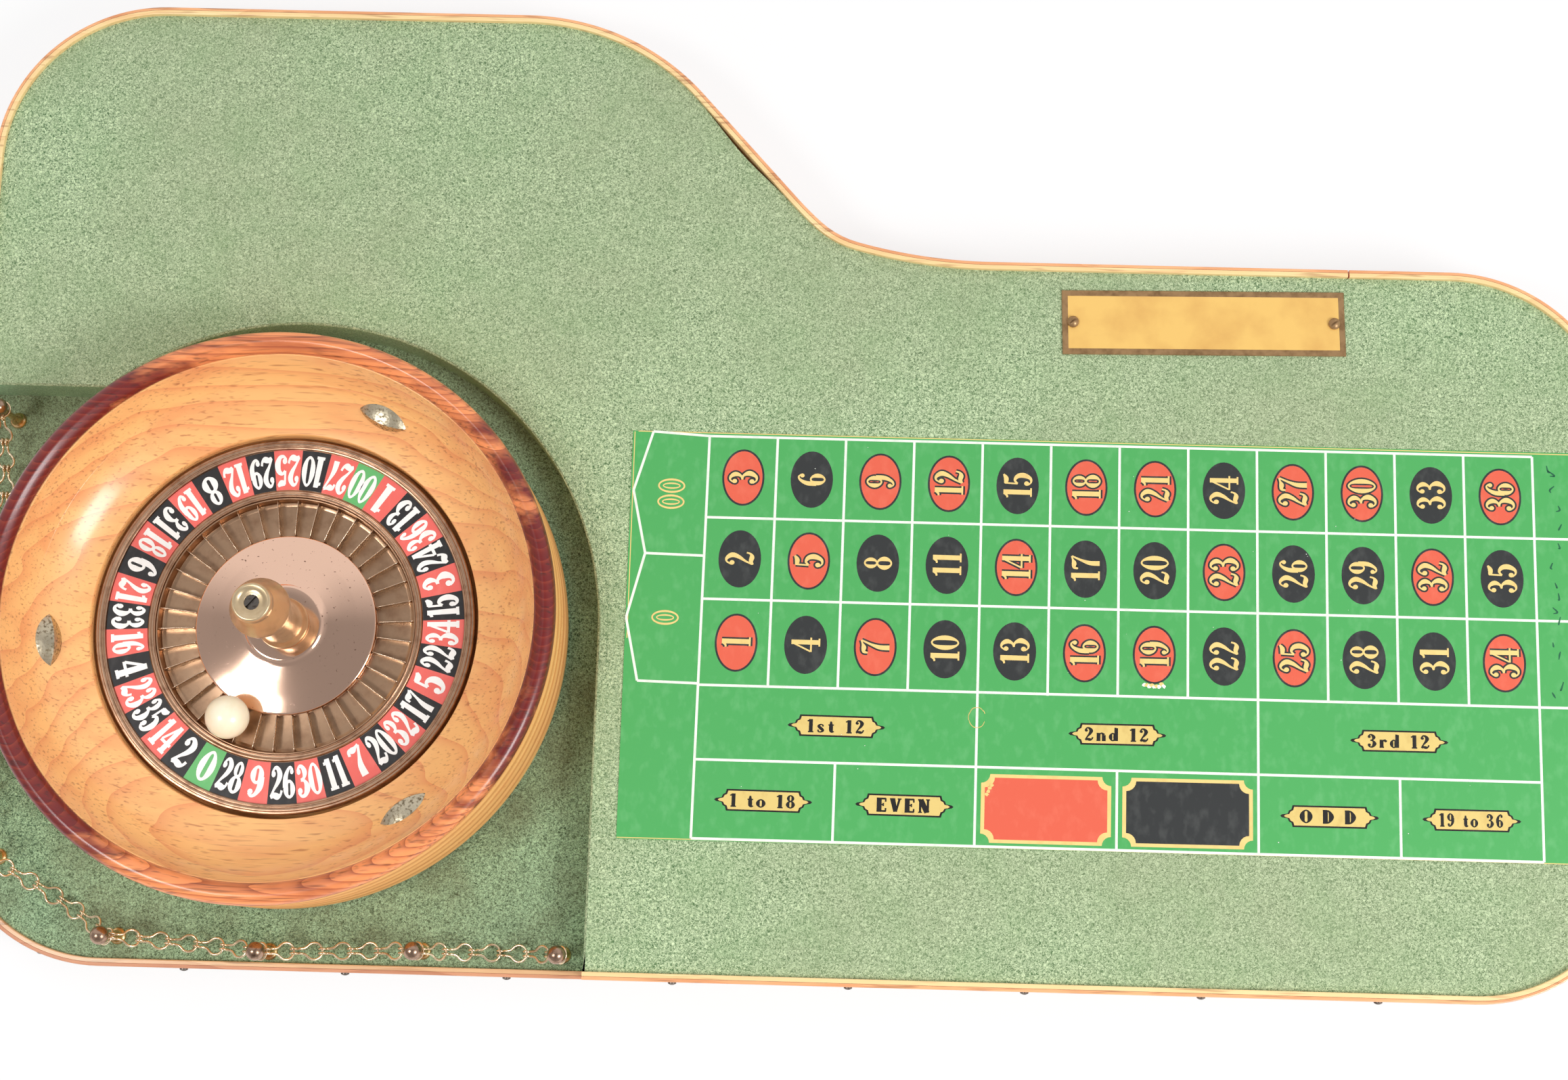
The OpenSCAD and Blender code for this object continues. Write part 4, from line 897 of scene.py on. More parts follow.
# %% Glyphs
def alphabet(weight, hair, grow=0.0):
    """All glyphs: thick strokes times weight, thinnest strokes hair wide, all strokes wider by grow."""
    def ribbon(points):
        return stroke([(x, y, max(w * weight, hair) + grow) for x, y, w in points])

    def bar(x0, y0, x1, y1, w=hair):
        return ribbon([(x0, y0, w), (x1, y1, w)])

    def loop(cx, cy, rx, ry, thick, thin=hair):
        return oval_stroke(cx, cy, rx, ry, thick * weight + grow, max(thin, hair) + grow)

    def dot(cx, cy, r):
        return blob(cx, cy, r * weight ** 0.5 + grow / 2)

    six = [loop(0.31, 0.29, 0.15, 0.25, 0.15), dot(0.45, 0.84, 0.075),
           ribbon([(0.49, 0.88, 0.04), (0.40, 0.97, 0.05), (0.27, 0.90, 0.09), (0.15, 0.66, 0.15),
                   (0.14, 0.34, 0.16)])]
    return {
        "0": [loop(0.30, 0.50, 0.19, 0.465, 0.165)],
        "1": [bar(0.30, 0.0, 0.30, 1.0, 0.17),
              ribbon([(0.24, 0.98, 0.05), (0.17, 0.88, 0.07), (0.08, 0.86, 0.04)]),
              bar(0.13, 0.02, 0.47, 0.02, 0.045)],
        "2": [dot(0.15, 0.77, 0.085),
              ribbon([(0.09, 0.80, 0.04), (0.19, 0.96, 0.05), (0.33, 0.95, 0.11), (0.45, 0.77, 0.17),
                      (0.38, 0.54, 0.13), (0.22, 0.30, 0.07), (0.10, 0.06, 0.05)]),
              ribbon([(0.09, 0.03, 0.05), (0.22, 0.10, 0.13), (0.38, 0.07, 0.15), (0.50, 0.12, 0.07),
                      (0.55, 0.26, 0.03)])],
        "3": [dot(0.15, 0.80, 0.08), dot(0.15, 0.19, 0.085),
              ribbon([(0.09, 0.82, 0.04), (0.20, 0.965, 0.05), (0.34, 0.93, 0.11), (0.43, 0.77, 0.16),
                      (0.36, 0.59, 0.08), (0.22, 0.53, 0.04)]),
              ribbon([(0.22, 0.53, 0.04), (0.38, 0.49, 0.08), (0.47, 0.28, 0.18), (0.36, 0.06, 0.11),
                      (0.20, 0.025, 0.05), (0.09, 0.15, 0.04)])],
        "4": [bar(0.40, 1.0, 0.40, 0.0, 0.16), bar(0.38, 0.98, 0.05, 0.33, 0.05),
              bar(0.03, 0.31, 0.58, 0.31, 0.055), bar(0.25, 0.02, 0.55, 0.02, 0.045)],
        "5": [dot(0.15, 0.18, 0.085), bar(0.155, 0.96, 0.135, 0.50, 0.045),
              ribbon([(0.14, 0.92, 0.11), (0.34, 0.91, 0.15), (0.50, 1.0, 0.03)]),
              ribbon([(0.14, 0.50, 0.04), (0.27, 0.60, 0.08), (0.43, 0.50, 0.15), (0.47, 0.29, 0.18),
                      (0.36, 0.06, 0.11), (0.20, 0.025, 0.05), (0.09, 0.14, 0.04)])],
        "6": six,
        "7": [ribbon([(0.07, 0.76, 0.03), (0.11, 0.90, 0.10), (0.28, 0.90, 0.15), (0.42, 0.95, 0.06),
                      (0.55, 0.99, 0.04)]),
              ribbon([(0.55, 0.98, 0.05), (0.40, 0.66, 0.08), (0.29, 0.34, 0.15), (0.28, 0.0, 0.17)])],
        "8": [loop(0.30, 0.745, 0.14, 0.215, 0.13), loop(0.30, 0.27, 0.17, 0.245, 0.16)],
        "9": [([(0.60 - x, 1 - y) for x, y in verts], faces) for verts, faces in six],
        "o": [loop(0.28, 0.30, 0.18, 0.28, 0.17)],
        "s": [ribbon([(0.42, 0.44, 0.03), (0.40, 0.56, 0.05), (0.27, 0.60, 0.06), (0.15, 0.48, 0.12),
                      (0.28, 0.31, 0.16), (0.42, 0.14, 0.12), (0.28, 0.02, 0.06), (0.14, 0.06, 0.05),
                      (0.12, 0.2, 0.03)])],
        "t": [ribbon([(0.24, 0.86, 0.06), (0.24, 0.5, 0.17), (0.25, 0.14, 0.17), (0.32, 0.03, 0.08),
                      (0.42, 0.10, 0.03)]), bar(0.07, 0.58, 0.42, 0.58, 0.05)],
        "n": [bar(0.17, 0.0, 0.17, 0.6, 0.17), bar(0.50, 0.0, 0.50, 0.44, 0.17),
              bar(0.04, 0.02, 0.29, 0.02, 0.04),
              ribbon([(0.22, 0.46, 0.04), (0.36, 0.59, 0.07), (0.50, 0.44, 0.17)]),
              bar(0.38, 0.02, 0.62, 0.02, 0.04)],
        "d": [loop(0.24, 0.30, 0.14, 0.28, 0.16), bar(0.45, 0.0, 0.45, 1.0, 0.16),
              bar(0.34, 0.98, 0.46, 0.98, 0.04)],
        "r": [bar(0.17, 0.0, 0.17, 0.6, 0.17), bar(0.04, 0.02, 0.32, 0.02, 0.04), dot(0.42, 0.50, 0.08),
              ribbon([(0.22, 0.42, 0.04), (0.32, 0.56, 0.05), (0.43, 0.58, 0.05)])],
        "E": [bar(0.20, 0.0, 0.20, 1.0, 0.22), bar(0.04, 0.975, 0.62, 0.975), bar(0.04, 0.025, 0.62, 0.025),
              bar(0.2, 0.52, 0.46, 0.52, 0.045),
              ribbon([(0.46, 0.64, 0.03), (0.45, 0.52, 0.06), (0.46, 0.40, 0.03)]),
              bar(0.60, 1.0, 0.60, 0.74, 0.05), bar(0.60, 0.0, 0.60, 0.26, 0.05)],
        "V": [ribbon([(0.16, 1.0, 0.23), (0.35, 0.0, 0.18)]), bar(0.60, 0.98, 0.38, 0.0),
              bar(0.0, 0.98, 0.33, 0.98, 0.04), bar(0.48, 0.98, 0.72, 0.98, 0.04)],
        "N": [bar(0.14, 0.0, 0.14, 1.0), bar(0.62, 0.0, 0.62, 1.0),
              ribbon([(0.17, 1.0, 0.24), (0.57, 0.0, 0.24)]), bar(0.02, 0.02, 0.26, 0.02, 0.04),
              bar(0.50, 0.98, 0.74, 0.98, 0.04), bar(0.0, 0.98, 0.2, 0.98, 0.04)],
        "O": [loop(0.35, 0.5, 0.24, 0.47, 0.23)],
        "D": [bar(0.20, 0.0, 0.20, 1.0, 0.22), bar(0.04, 0.02, 0.3, 0.02, 0.04),
              bar(0.04, 0.98, 0.3, 0.98, 0.04),
              ribbon([(0.22, 0.975, 0.05), (0.44, 0.90, 0.10), (0.57, 0.5, 0.23), (0.44, 0.10, 0.10),
                      (0.22, 0.025, 0.05)])],
    }


advance = {"1": 0.50, "o": 0.58, "s": 0.54, "t": 0.48, "n": 0.68, "d": 0.62, "r": 0.55, "E": 0.72, "V": 0.74,
           "N": 0.78, "O": 0.74, "D": 0.76, " ": 0.32}
WIDTH = 0.60
bold = alphabet(1.1, 0.06)
outlined = alphabet(1.1, 0.06, 0.13)
heavy = alphabet(1.4, 0.1)
hollow = {"0": [oval_stroke(0.30, 0.5, 0.235, 0.46, 0.075, 0.06),
                oval_stroke(0.30, 0.5, 0.09, 0.30, 0.06, 0.045)]}


def lettering(heap, text, put, kind, glyphs, spacing=0.0, lift=0.1):
    """Adds text to a heap. put maps (x, y, lift) to a point, with x centred and y from 0 to 1."""
    widths = [advance.get(c, WIDTH) + spacing for c in text]
    x = -sum(widths) / 2
    for c, width in zip(text, widths):
        for number, (verts, faces) in enumerate(glyphs.get(c, [])):
            heap.add([put(x + vx, vy, lift * number) for vx, vy in verts], faces, kind)
        x += width


print("glyphs:", "".join(sorted(bold)))

# %% [markdown]
# The layout is printed on a thin sheet. A picture could be laid over it, but then its sharpness would
# depend on an image. Every printed colour here is its own flat film two hundredths of a millimetre above
# the one before, in the order it was printed. Places are measured on the sheet: x from the grid's left
# line, y from its front.

# %% Betting layout
FILM = 0.02
LEAN = 0.012
SINK, SINK_END, RECOVER = 0.006, 150.0, 0.002
LINE_W = 1.15
TEXT_LAYER = 4
sheet_low, sheet_high = measures("layout_sheet")
GRID_X = sheet_low.x + 35.4
GRID_PITCH = 31.5
GRID_W = 12 * GRID_PITCH
ROWS = [185.3, 147.0, 109.1, 69.7, 36.1]
FRONT_Y = 0.9
inks = [print_white, print_red, print_black, print_gold, print_ink, print_brass, print_pen]
WHITE, RED, BLACK, GOLD, INK, BRASS, PEN = range(7)
layout = Heap()


def on_sheet(x, y, layer):
    """A point of the sheet. It leans a little and its lines sink toward the middle, as the print does."""
    sink = SINK * min(x, SINK_END) - RECOVER * max(0.0, x - SINK_END)
    return (GRID_X + x + LEAN * (y - ROWS[0]), sheet_low.y + y - sink, sheet_high.z + FILM * layer)


def film(corners, kind, layer):
    layout.add([on_sheet(x, y, layer) for x, y in corners], [tuple(range(len(corners)))], kind)


def fan(cx, cy, corners, kind, layer):
    """A film of any outline round a middle point."""
    layout.add([on_sheet(x, y, layer) for x, y in [(cx, cy)] + corners],
               [(0, k + 1, (k + 1) % len(corners) + 1) for k in range(len(corners))], kind)


def line(x0, y0, x1, y1, width=LINE_W, kind=WHITE, layer=1):
    length = math.hypot(x1 - x0, y1 - y0)
    nx, ny = -(y1 - y0) / length * width / 2, (x1 - x0) / length * width / 2
    film([(x0 + nx, y0 + ny), (x0 - nx, y0 - ny), (x1 - nx, y1 - ny), (x1 + nx, y1 + ny)], kind, layer)


for y in ROWS + [FRONT_Y]:
    line(0, y, GRID_W, y)
for k in range(13):
    line(k * GRID_PITCH, ROWS[0], k * GRID_PITCH, ROWS[3] if k % 4 else FRONT_Y, layer=1.5)
for k in (2, 6, 10):
    line(k * GRID_PITCH, ROWS[4], k * GRID_PITCH, FRONT_Y, layer=1.5)
print("grid lines:", len(layout.faces))

# %% [markdown]
# Each number stands in an oval, red or black with a dark rim, and reads upward along the table. Printers
# lay a bright colour over a slightly larger dark one, which hides small slips and makes the figure stand
# out. The same trick is used here: a wider set of strokes in black, then the gold one on top.

# %% Numbers on the sheet
OVAL = (9.7, 13.3)
RED_OVAL = (8.8, 12.4)
DIGIT_H = 12.9
DIGIT_STRETCH = 0.92
MIDDLE_SLIP = 0.6
red_numbers = {1, 3, 5, 7, 9, 12, 14, 16, 18, 19, 21, 23, 25, 27, 30, 32, 34, 36}


def oval(cx, cy, half_width, half_height, kind, layer, steps=40):
    turns = [2 * math.pi * k / steps for k in range(steps)]
    film([(cx + half_width * math.cos(t), cy + half_height * math.sin(t)) for t in turns], kind, layer)


def sideways(cx, cy, height, stretch, layer=TEXT_LAYER):
    """Placing for text that reads upward: its top points to the left."""
    return lambda x, y, lift: on_sheet(cx + (0.5 - y) * height, cy + x * height * stretch, layer + lift)


for column in range(12):
    for row in range(3):
        number = 3 * column + 3 - row
        cx, cy = (column + 0.5) * GRID_PITCH + MIDDLE_SLIP, (ROWS[row] + ROWS[row + 1]) / 2
        oval(cx, cy, *OVAL, BLACK, 2)
        if number in red_numbers:
            oval(cx, cy, *RED_OVAL, RED, 3)
        for layer, ink, face in ((TEXT_LAYER, BLACK, outlined), (TEXT_LAYER + 1, GOLD, bold)):
            lettering(layout, str(number), sideways(cx, cy, DIGIT_H, DIGIT_STRETCH, layer), ink, face)
print("printed numbers:", 12 * 3)

# %% [markdown]
# The outside bets carry gold cartouches with stepped, pointed ends; red and black have notched boxes
# instead. One half of a cartouche's outline is written as a few steps and then mirrored, so both ends stay
# the same.

# %% Outside bets
TIP = 4.6
WORD_H = 5.8
SHORT_WORD = 8
steps_of_end = [(0.0, 1.0), (0.5, 0.62), (1.6, 0.5), (2.2, 0.22)]


def cartouche(cx, cy, text, length=40.5, height=8.2):
    for grow, kind, layer in ((0.75, INK, 2), (0.0, BRASS, 3)):
        a, b, tip = length / 2 - TIP + grow, height / 2 + grow, length / 2 + 2.2 * grow
        upper = [(a + out, share * b) for out, share in steps_of_end] + [(tip - 0.8, 0.14 * b)]
        side = upper + [(tip, 0.0)] + [(x, -y) for x, y in reversed(upper)]
        corners = [(cx + x, cy + y) for x, y in side] + [(cx - x, cy + y) for x, y in reversed(side)]
        fan(cx, cy, corners[::-1], kind, layer)
    stretch = WORD_H * (1.24 if len(text) < SHORT_WORD else 1.0)

    def upright(x, y, lift):
        return on_sheet(cx + x * stretch, cy + (y - 0.5) * WORD_H, TEXT_LAYER + lift)
    lettering(layout, text, upright, INK, heavy, spacing=0.14)


def notched(cx, cy, width, height, kind, layer, notch):
    corners = []
    for sx, sy in ((-1, 1), (-1, -1), (1, -1), (1, 1)):
        x, y = cx + sx * width / 2, cy + sy * height / 2
        turns = [math.pi / 2 * k / 5 for k in range(6)]
        arc = [(x - sx * notch * math.cos(t), y - sy * notch * math.sin(t)) for t in turns]
        corners += arc if sx * sy < 0 else arc[::-1]
    fan(cx, cy, corners, kind, layer)


dozen_y = (ROWS[3] + ROWS[4]) / 2
for k, words in enumerate(("1st 12", "2nd 12", "3rd 12")):
    cartouche((4 * k + 2) * GRID_PITCH, dozen_y, words)
low_y = (ROWS[4] + FRONT_Y) / 2
for k, words in ((0, "1 to 18"), (1, "EVEN"), (4, "O D D"), (5, "19 to 36")):
    cartouche((2 * k + 1) * GRID_PITCH, low_y, words)
for k, kind in ((2, RED), (3, BLACK)):
    notched((2 * k + 1) * GRID_PITCH, low_y, 58.0, 30.5, GOLD, 2, 4.0)
    notched((2 * k + 1) * GRID_PITCH, low_y, 54.6, 27.4, kind, 3, 4.4)
print("printed faces with the outside bets:", len(layout.faces))

# %% [markdown]
# The zero and double-zero boxes have pointed left ends, the column lines run on past the grid, and a thin
# gold line follows the sheet's edge. The points of the ends are given one by one, since print like this
# follows no rule.

# %% Zero boxes
ZERO_SPLIT = 129.4
ZERO_X, ZERO_H, ZERO_STRETCH = -16.4, 12.8, 0.98
margin_x = sheet_low.x - GRID_X
right_x = sheet_high.x - GRID_X
back_y = sheet_high.y - sheet_low.y
zero_line = [(0.2, ROWS[0]), (-26.0, ROWS[0] + 1.4), (-33.8, 158.7), (-27.0, ZERO_SPLIT), (-34.1, 99.5),
             (-27.6, 70.7), (0.2, 70.3)]
for k, (start, end) in enumerate(zip(zero_line, zero_line[1:])):
    line(*start, *end, layer=1.6 + 0.1 * (k % 2))
line(-27.0, ZERO_SPLIT, 0.2, 129.0, layer=1.8)
for words, y in (("00", 157.5), ("0", 99.9)):
    lettering(layout, words, sideways(ZERO_X, y, ZERO_H, ZERO_STRETCH), GOLD, hollow)
for y, width in ((back_y - 0.35, 0.42), (0.3, 0.36)):
    line(margin_x + 2.4, y, right_x - 1.5, y, width, GOLD, 0.6)
line(margin_x + 2.2, 90, margin_x + 0.8, back_y - 0.6, 0.4, GOLD, 0.7)
for y in ROWS[1:4]:
    line(GRID_W, y, right_x - 2.5, y)
print("printed faces with the zero boxes:", len(layout.faces))

# %% [markdown]
# Years of play have marked the sheet: flakes off one oval and off a corner of the red box, specks all over,
# a small round mark on a line, and faint pen strokes by the column bets. Each is a small film with random
# corners. The random draws start from one fixed number, so every run makes the same marks.

# %% Marks of use
chance = random.Random(38)
FLAKES_X = 6.38 * GRID_PITCH
WORN_CORNER = (4.16 * GRID_PITCH, ROWS[4] - 11.5)
RING_AT = (4 * GRID_PITCH, dozen_y + 6)
RING_SIZE = (3.6, 4.4)
PEN_STROKES = 15
MARK_LAYER = 2.6


def chip(cx, cy, size, kind, layer):
    """An irregular flake of nine corners."""
    turns = [t / 9 * 2 * math.pi for t in range(9)]
    film([(cx + size * (0.6 + 0.5 * chance.random()) * math.cos(t),
           cy + size * (0.4 + 0.5 * chance.random()) * math.sin(t)) for t in turns], kind, layer)


def mark(points, kind):
    verts, faces = stroke(points)
    layout.add([on_sheet(x, y, MARK_LAYER) for x, y in verts], faces, kind)


for k in range(9):
    across = FLAKES_X + 1.1 * k
    chip(across, ROWS[3] + 5.0 + 1.6 * chance.random(), 1.3, (WHITE, GOLD)[k % 2], 7 + 0.2 * k)
for k in range(4):
    chip(WORN_CORNER[0] + 0.7 * k, WORN_CORNER[1] + 1.4 * k, 1.1, GOLD, 7 + 0.2 * k)
for k in range(26):
    chip(chance.uniform(0, GRID_W), chance.uniform(4, ROWS[0]), chance.uniform(0.12, 0.3), WHITE, 8)
mark([(RING_AT[0] + (RING_SIZE[0] + 0.3 * chance.random()) * math.cos(t),
       RING_AT[1] + (RING_SIZE[1] + 0.3 * chance.random()) * math.sin(t),
       0.18 + 0.22 * chance.random()) for t in [0.4 + 0.24 * k for k in range(24)]], BRASS)
for k in range(PEN_STROKES):
    x = GRID_W + chance.uniform(7, 11)
    y = ROWS[3] + (ROWS[0] - ROWS[3]) * (k + chance.random()) / PEN_STROKES
    mark([(x, y, 0.3), (x + chance.uniform(-1, 3), y + chance.uniform(0, 2), 0.8),
          (x + chance.uniform(-2, 2), y + chance.uniform(2, 4), 0.4)], PEN)
layout.build("layout_print", inks, "table", smooth=False, slot="sheet_print")
print("printed faces:", len(layout.faces))

# %% [markdown]
# The number ring: thirty-eight enamelled fields in the order of the wheel, and heavy white digits whose
# tops point to the middle. The digits follow the ring's curve, so their points are placed by angle and
# radius instead of being turned as a block, and wide numbers stay inside their field's lines.

# %% Number ring
ZERO_ANGLE = math.radians(-115.3)
wheel_order = [0, 28, 9, 26, 30, 11, 7, 20, 32, 17, 5, 22, 34, 15, 3, 24, 36, 13, 1, -1,
               27, 10, 25, 29, 12, 8, 19, 31, 18, 6, 21, 33, 16, 4, 23, 35, 14, 2]
ring_low, ring_high = measures("number_ring")
NUMBER_OUT = (ring_high.x - ring_low.x) / 2
NUMBER_IN = 62.7
RING_DIGIT_H = 14.2
ENAMEL_DIP = 0.06
DIGIT_DIP = 0.03
ONE_DIGIT_W, TWO_DIGITS_W = 12.5, 9.9
POCKETS = len(wheel_order)
pitch = 2 * math.pi / POCKETS
numbers = Heap()


def polar(angle, radius, height):
    return (wheel.x + radius * math.cos(angle), wheel.y + radius * math.sin(angle), height)


def sector(a0, a1, r0, r1, low, high, kind, steps=5):
    """A curved tile between two angles and two radii."""
    points = []
    for k in range(steps + 1):
        a = a0 + (a1 - a0) * k / steps
        points += [polar(a, r0, low), polar(a, r0, high), polar(a, r1, high), polar(a, r1, low)]
    ends = [(0, 1, 2, 3), tuple(4 * steps + j for j in (3, 2, 1, 0))]
    numbers.add(points, skin(steps + 1, 4) + ends, kind)


middle_r = (NUMBER_IN + NUMBER_OUT) / 2 - 0.3
for k, number in enumerate(wheel_order):
    middle = ZERO_ANGLE + k * pitch
    colour = 2 if number < 1 else k % 2
    sector(middle - pitch / 2, middle + pitch / 2, NUMBER_IN, NUMBER_OUT, ring_low.z,
           ring_high.z - ENAMEL_DIP, colour)
    words = "00" if number < 0 else str(number)
    wide = TWO_DIGITS_W if len(words) > 1 else ONE_DIGIT_W
    lettering(numbers, words, lambda x, y, lift: polar(
        middle + x * wide / middle_r, middle_r - (y - 0.5) * RING_DIGIT_H, ring_high.z - DIGIT_DIP + lift),
        3, heavy, spacing=-0.03, lift=0.003)
number_piece = numbers.build("number_fields", [ring_red, ring_black, ring_green, ring_white], "rotor",
                             smooth=False, slot="number_enamel")
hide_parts("number_ring")
print("pockets:", POCKETS)

# %% [markdown]
# The bowl was turned from glued layers. Its inside is one smooth hollow track, so a single formula gives
# the track, and each layer is turned from the stretch of it between that layer's lower and upper face.
# Making it all in one piece would be shorter, but the layers are parts of their own and stay apart.

# %% Bowl
OPENING_R = 87.8
OPENING_H = 22.5
RIM_W = 10.0
RIM_OVERHANG = 0.2
RIM_IN = (rim_high.x - rim_low.x) / 2 - RIM_OVERHANG - RIM_W
WELL_H = 9.0
HOLLOW = 5.0
HOLLOW_WAY = (0.73, -0.68)
WALL_DEPTH = 0.4
bowl_r = (measures("bowl_base")[1].x - measures("bowl_base")[0].x) / 2
layers = ("bowl_base", "bowl_middle", "bowl_upper")
base_top, middle_top, upper_top = [measures(layer)[1].z - wheel.z for layer in layers]


def track_point(f):
    """The track at share f of the way from the opening to the rim."""
    bulge = 4 * f * (1 - f) * HOLLOW
    return (OPENING_R + f * (RIM_IN - OPENING_R) + HOLLOW_WAY[0] * bulge,
            OPENING_H + f * (upper_top - OPENING_H) + HOLLOW_WAY[1] * bulge)


def track_between(low, high, steps=60):
    """The track's points between two heights, rising, with the cut points on the heights."""
    line = [track_point(k / steps) for k in range(steps + 1)]
    kept = [p for p in line if low + 0.01 < p[1] < high - 0.01]

    def at(height):
        for (r0, h0), (r1, h1) in zip(line, line[1:]):
            if h0 <= height <= h1:
                return (r0 + (r1 - r0) * (height - h0) / max(h1 - h0, 1e-6), height)
        return None

    return [p for p in [at(low)] + kept + [at(high)] if p]


def finish_wall(made):
    """The turned outer wall shows the edges of the layers, so it gets the side's finish."""
    made.data.materials.append(side_wood)
    for face in made.data.polygons:
        out = face.center - wheel * MM
        if math.hypot(out.x, out.y) > (bowl_r - WALL_DEPTH) * MM:
            face.material_index = 1


base_curve = [(0.01, 0), (bowl_r - 2, 0), (bowl_r, 2), (bowl_r, base_top), (OPENING_R, base_top),
              (OPENING_R, WELL_H), (0.01, WELL_H)]
lathe("bowl_base_turned", base_curve, side_wood, "wheel_bowl", "bowl_base", steps=180, slot="bowl_wood")
middle_curve = [(OPENING_R, base_top), (bowl_r, base_top), (bowl_r, middle_top)]
middle_curve += track_between(base_top, middle_top)[::-1] + [(OPENING_R, OPENING_H)]
upper_curve = [(bowl_r, middle_top), (bowl_r, upper_top)] + track_between(middle_top, upper_top)[::-1]
for name, curve in (("bowl_middle", middle_curve), ("bowl_upper", upper_curve)):
    finish_wall(lathe(name + "_turned", curve, track_wood, "wheel_bowl", name, radius=0.25, slot="bowl_wood"))
rim_top = rim_high.z - wheel.z
rim_t = rim_top - upper_top
rim_curve = [(RIM_IN, 0), (bowl_r, 0), (bowl_r + RIM_OVERHANG, 0.25), (bowl_r - 0.3, 0.6),
             (bowl_r - 1.6, 0.85), (bowl_r - 3.6, 1), (bowl_r - 5.4, 1), (RIM_IN + 1.6, 0.55)]
lathe("rim_ring_turned", [(r, upper_top + share * rim_t) for r, share in rim_curve], rim_wood, "wheel_bowl",
      "rim_ring", radius=1.4, slot="rim_wood")
print("bowl radius", round(bowl_r, 1), "top of layers", round(upper_top, 1), "top of rim", round(rim_top, 1))

# %% [markdown]
# The rotor, from the outside in: a ring with two beads, the enamelled numbers, an inner bead, the pockets
# with their frets, the copper cone and its raised ring. A plain flat ring would mirror one even grey; each
# bead and groove turned into it gives the metal a thin bright line of its own, so the profiles are written
# out in full.

# %% Rotor rings
POCKET_OUT = 59.1
POCKET_IN = 40.8
outer_low, outer_high = measures("rotor_outer_ring")
ROTOR_R = (outer_high.x - outer_low.x) / 2
ring_floor, ring_top = outer_low.z - wheel.z, outer_high.z - wheel.z
ring_in = NUMBER_OUT + 0.2
ring_w = ROTOR_R - ring_in
outer_curve = [(ring_in, ring_floor), (ROTOR_R, ring_floor), (ROTOR_R, ring_top - 1.2),
               (ROTOR_R - 0.5, ring_top - 0.6)]
outer_curve += [(ROTOR_R - share * ring_w, ring_top - down) for share, down in (
    (0.3, 0.6), (0.34, 0), (0.62, 0), (0.66, 0.5), (0.78, 0.5), (0.82, 0.1), (1, 0.4))]
lathe("outer_bead", outer_curve, ring_bronze, "rotor", "rotor_outer_ring", radius=0.22, slot="rotor_bronze")
inner_low, inner_high = measures("rotor_inner_ring")
ring_floor, ring_top = inner_low.z - wheel.z, inner_high.z - wheel.z
bead_in, bead_out = POCKET_OUT + 0.1, NUMBER_IN - 0.3
inner_curve = [(bead_in, ring_floor), (bead_out, ring_floor), (bead_out, ring_top - 0.5),
               (bead_out - 0.5, ring_top), (bead_out - 1.2, ring_top), (bead_out - 1.5, ring_top - 0.5),
               (bead_in + 0.8, ring_top - 0.5), (bead_in + 0.5, ring_top - 0.1), (bead_in, ring_top - 0.4)]
lathe("inner_bead", inner_curve, ring_bronze, "rotor", "rotor_inner_ring", radius=0.22, slot="rotor_bronze")
print("rotor radius", round(ROTOR_R, 1), "width of its rings", round(ring_w, 1), round(bead_out - bead_in, 1))

# %% [markdown]
# The pockets are one casting: a turned trough with thirty-eight thin walls, the frets, across it. A fret is
# thick at the floor and rounded on top, because metal has to leave the mould and a ball has to drop off it.
# Cutting pockets out of a solid ring would need a boolean for each, so the trough is turned and the frets
# are set in.

# %% Pockets and frets
pocket_low, pocket_high = measures("pocket_ring")
fret_top = pocket_high.z - wheel.z - 0.2
pocket_floor = pocket_low.z - wheel.z + 1.2
pocket_mesh = Heap()
profile = soften([
    (POCKET_IN - 1.4, pocket_floor - 1.2), (POCKET_OUT, pocket_floor - 1.2), (POCKET_OUT, fret_top + 0.2),
    (POCKET_OUT - 0.8, fret_top + 0.2), (POCKET_OUT - 1.4, pocket_floor + 0.6),
    (POCKET_OUT - 3, pocket_floor), (POCKET_IN - 0.2, pocket_floor), (POCKET_IN - 1.4, fret_top - 1.4)], 0.3)
TURN_STEPS = POCKETS * 6
for k in range(TURN_STEPS):
    a0, a1 = 2 * math.pi * k / TURN_STEPS, 2 * math.pi * (k + 1) / TURN_STEPS
    quads, corners = [], []
    for r, h in profile:
        corners += [polar(a0, r, wheel.z + h), polar(a1, r, wheel.z + h)]
    n = len(profile)
    for i in range(n):
        j = (i + 1) % n
        quads.append((2 * i, 2 * i + 1, 2 * j + 1, 2 * j))
    pocket_mesh.add(corners, quads)


def add_fret(angle):
    """A cast wall between two pockets, sloping down at its inner end. half is (side, share up)."""
    r0, r1 = POCKET_IN + 0.5, POCKET_OUT - 1.0
    along = Vector((math.cos(angle), math.sin(angle), 0))
    across = Vector((-math.sin(angle), math.cos(angle), 0))
    stations = [(r0, fret_top - 0.9), (r0 + 1.2, fret_top - 0.25), (r0 + 4, fret_top), (r1 - 2, fret_top),
                (r1, fret_top - 0.05)]
    half = [(0.45, 0.0), (0.42, 0.45), (0.34, 0.85), (0.18, 0.98)]
    section = half + [(0.0, 1.0)] + [(-side, up) for side, up in reversed(half)]
    points = []
    for r, top in stations:
        for side, up in section:
            height = pocket_floor - 0.3 + up * (top - pocket_floor + 0.3)
            points.append(wheel + Vector((0, 0, height)) + along * r + across * side)
    n, last = len(section), len(stations)
    faces = skin(last, n, round_columns=False, flip=True)
    faces += [tuple(reversed(range(n))), tuple(range((last - 1) * n, last * n))]
    pocket_mesh.add(points, faces, 1)


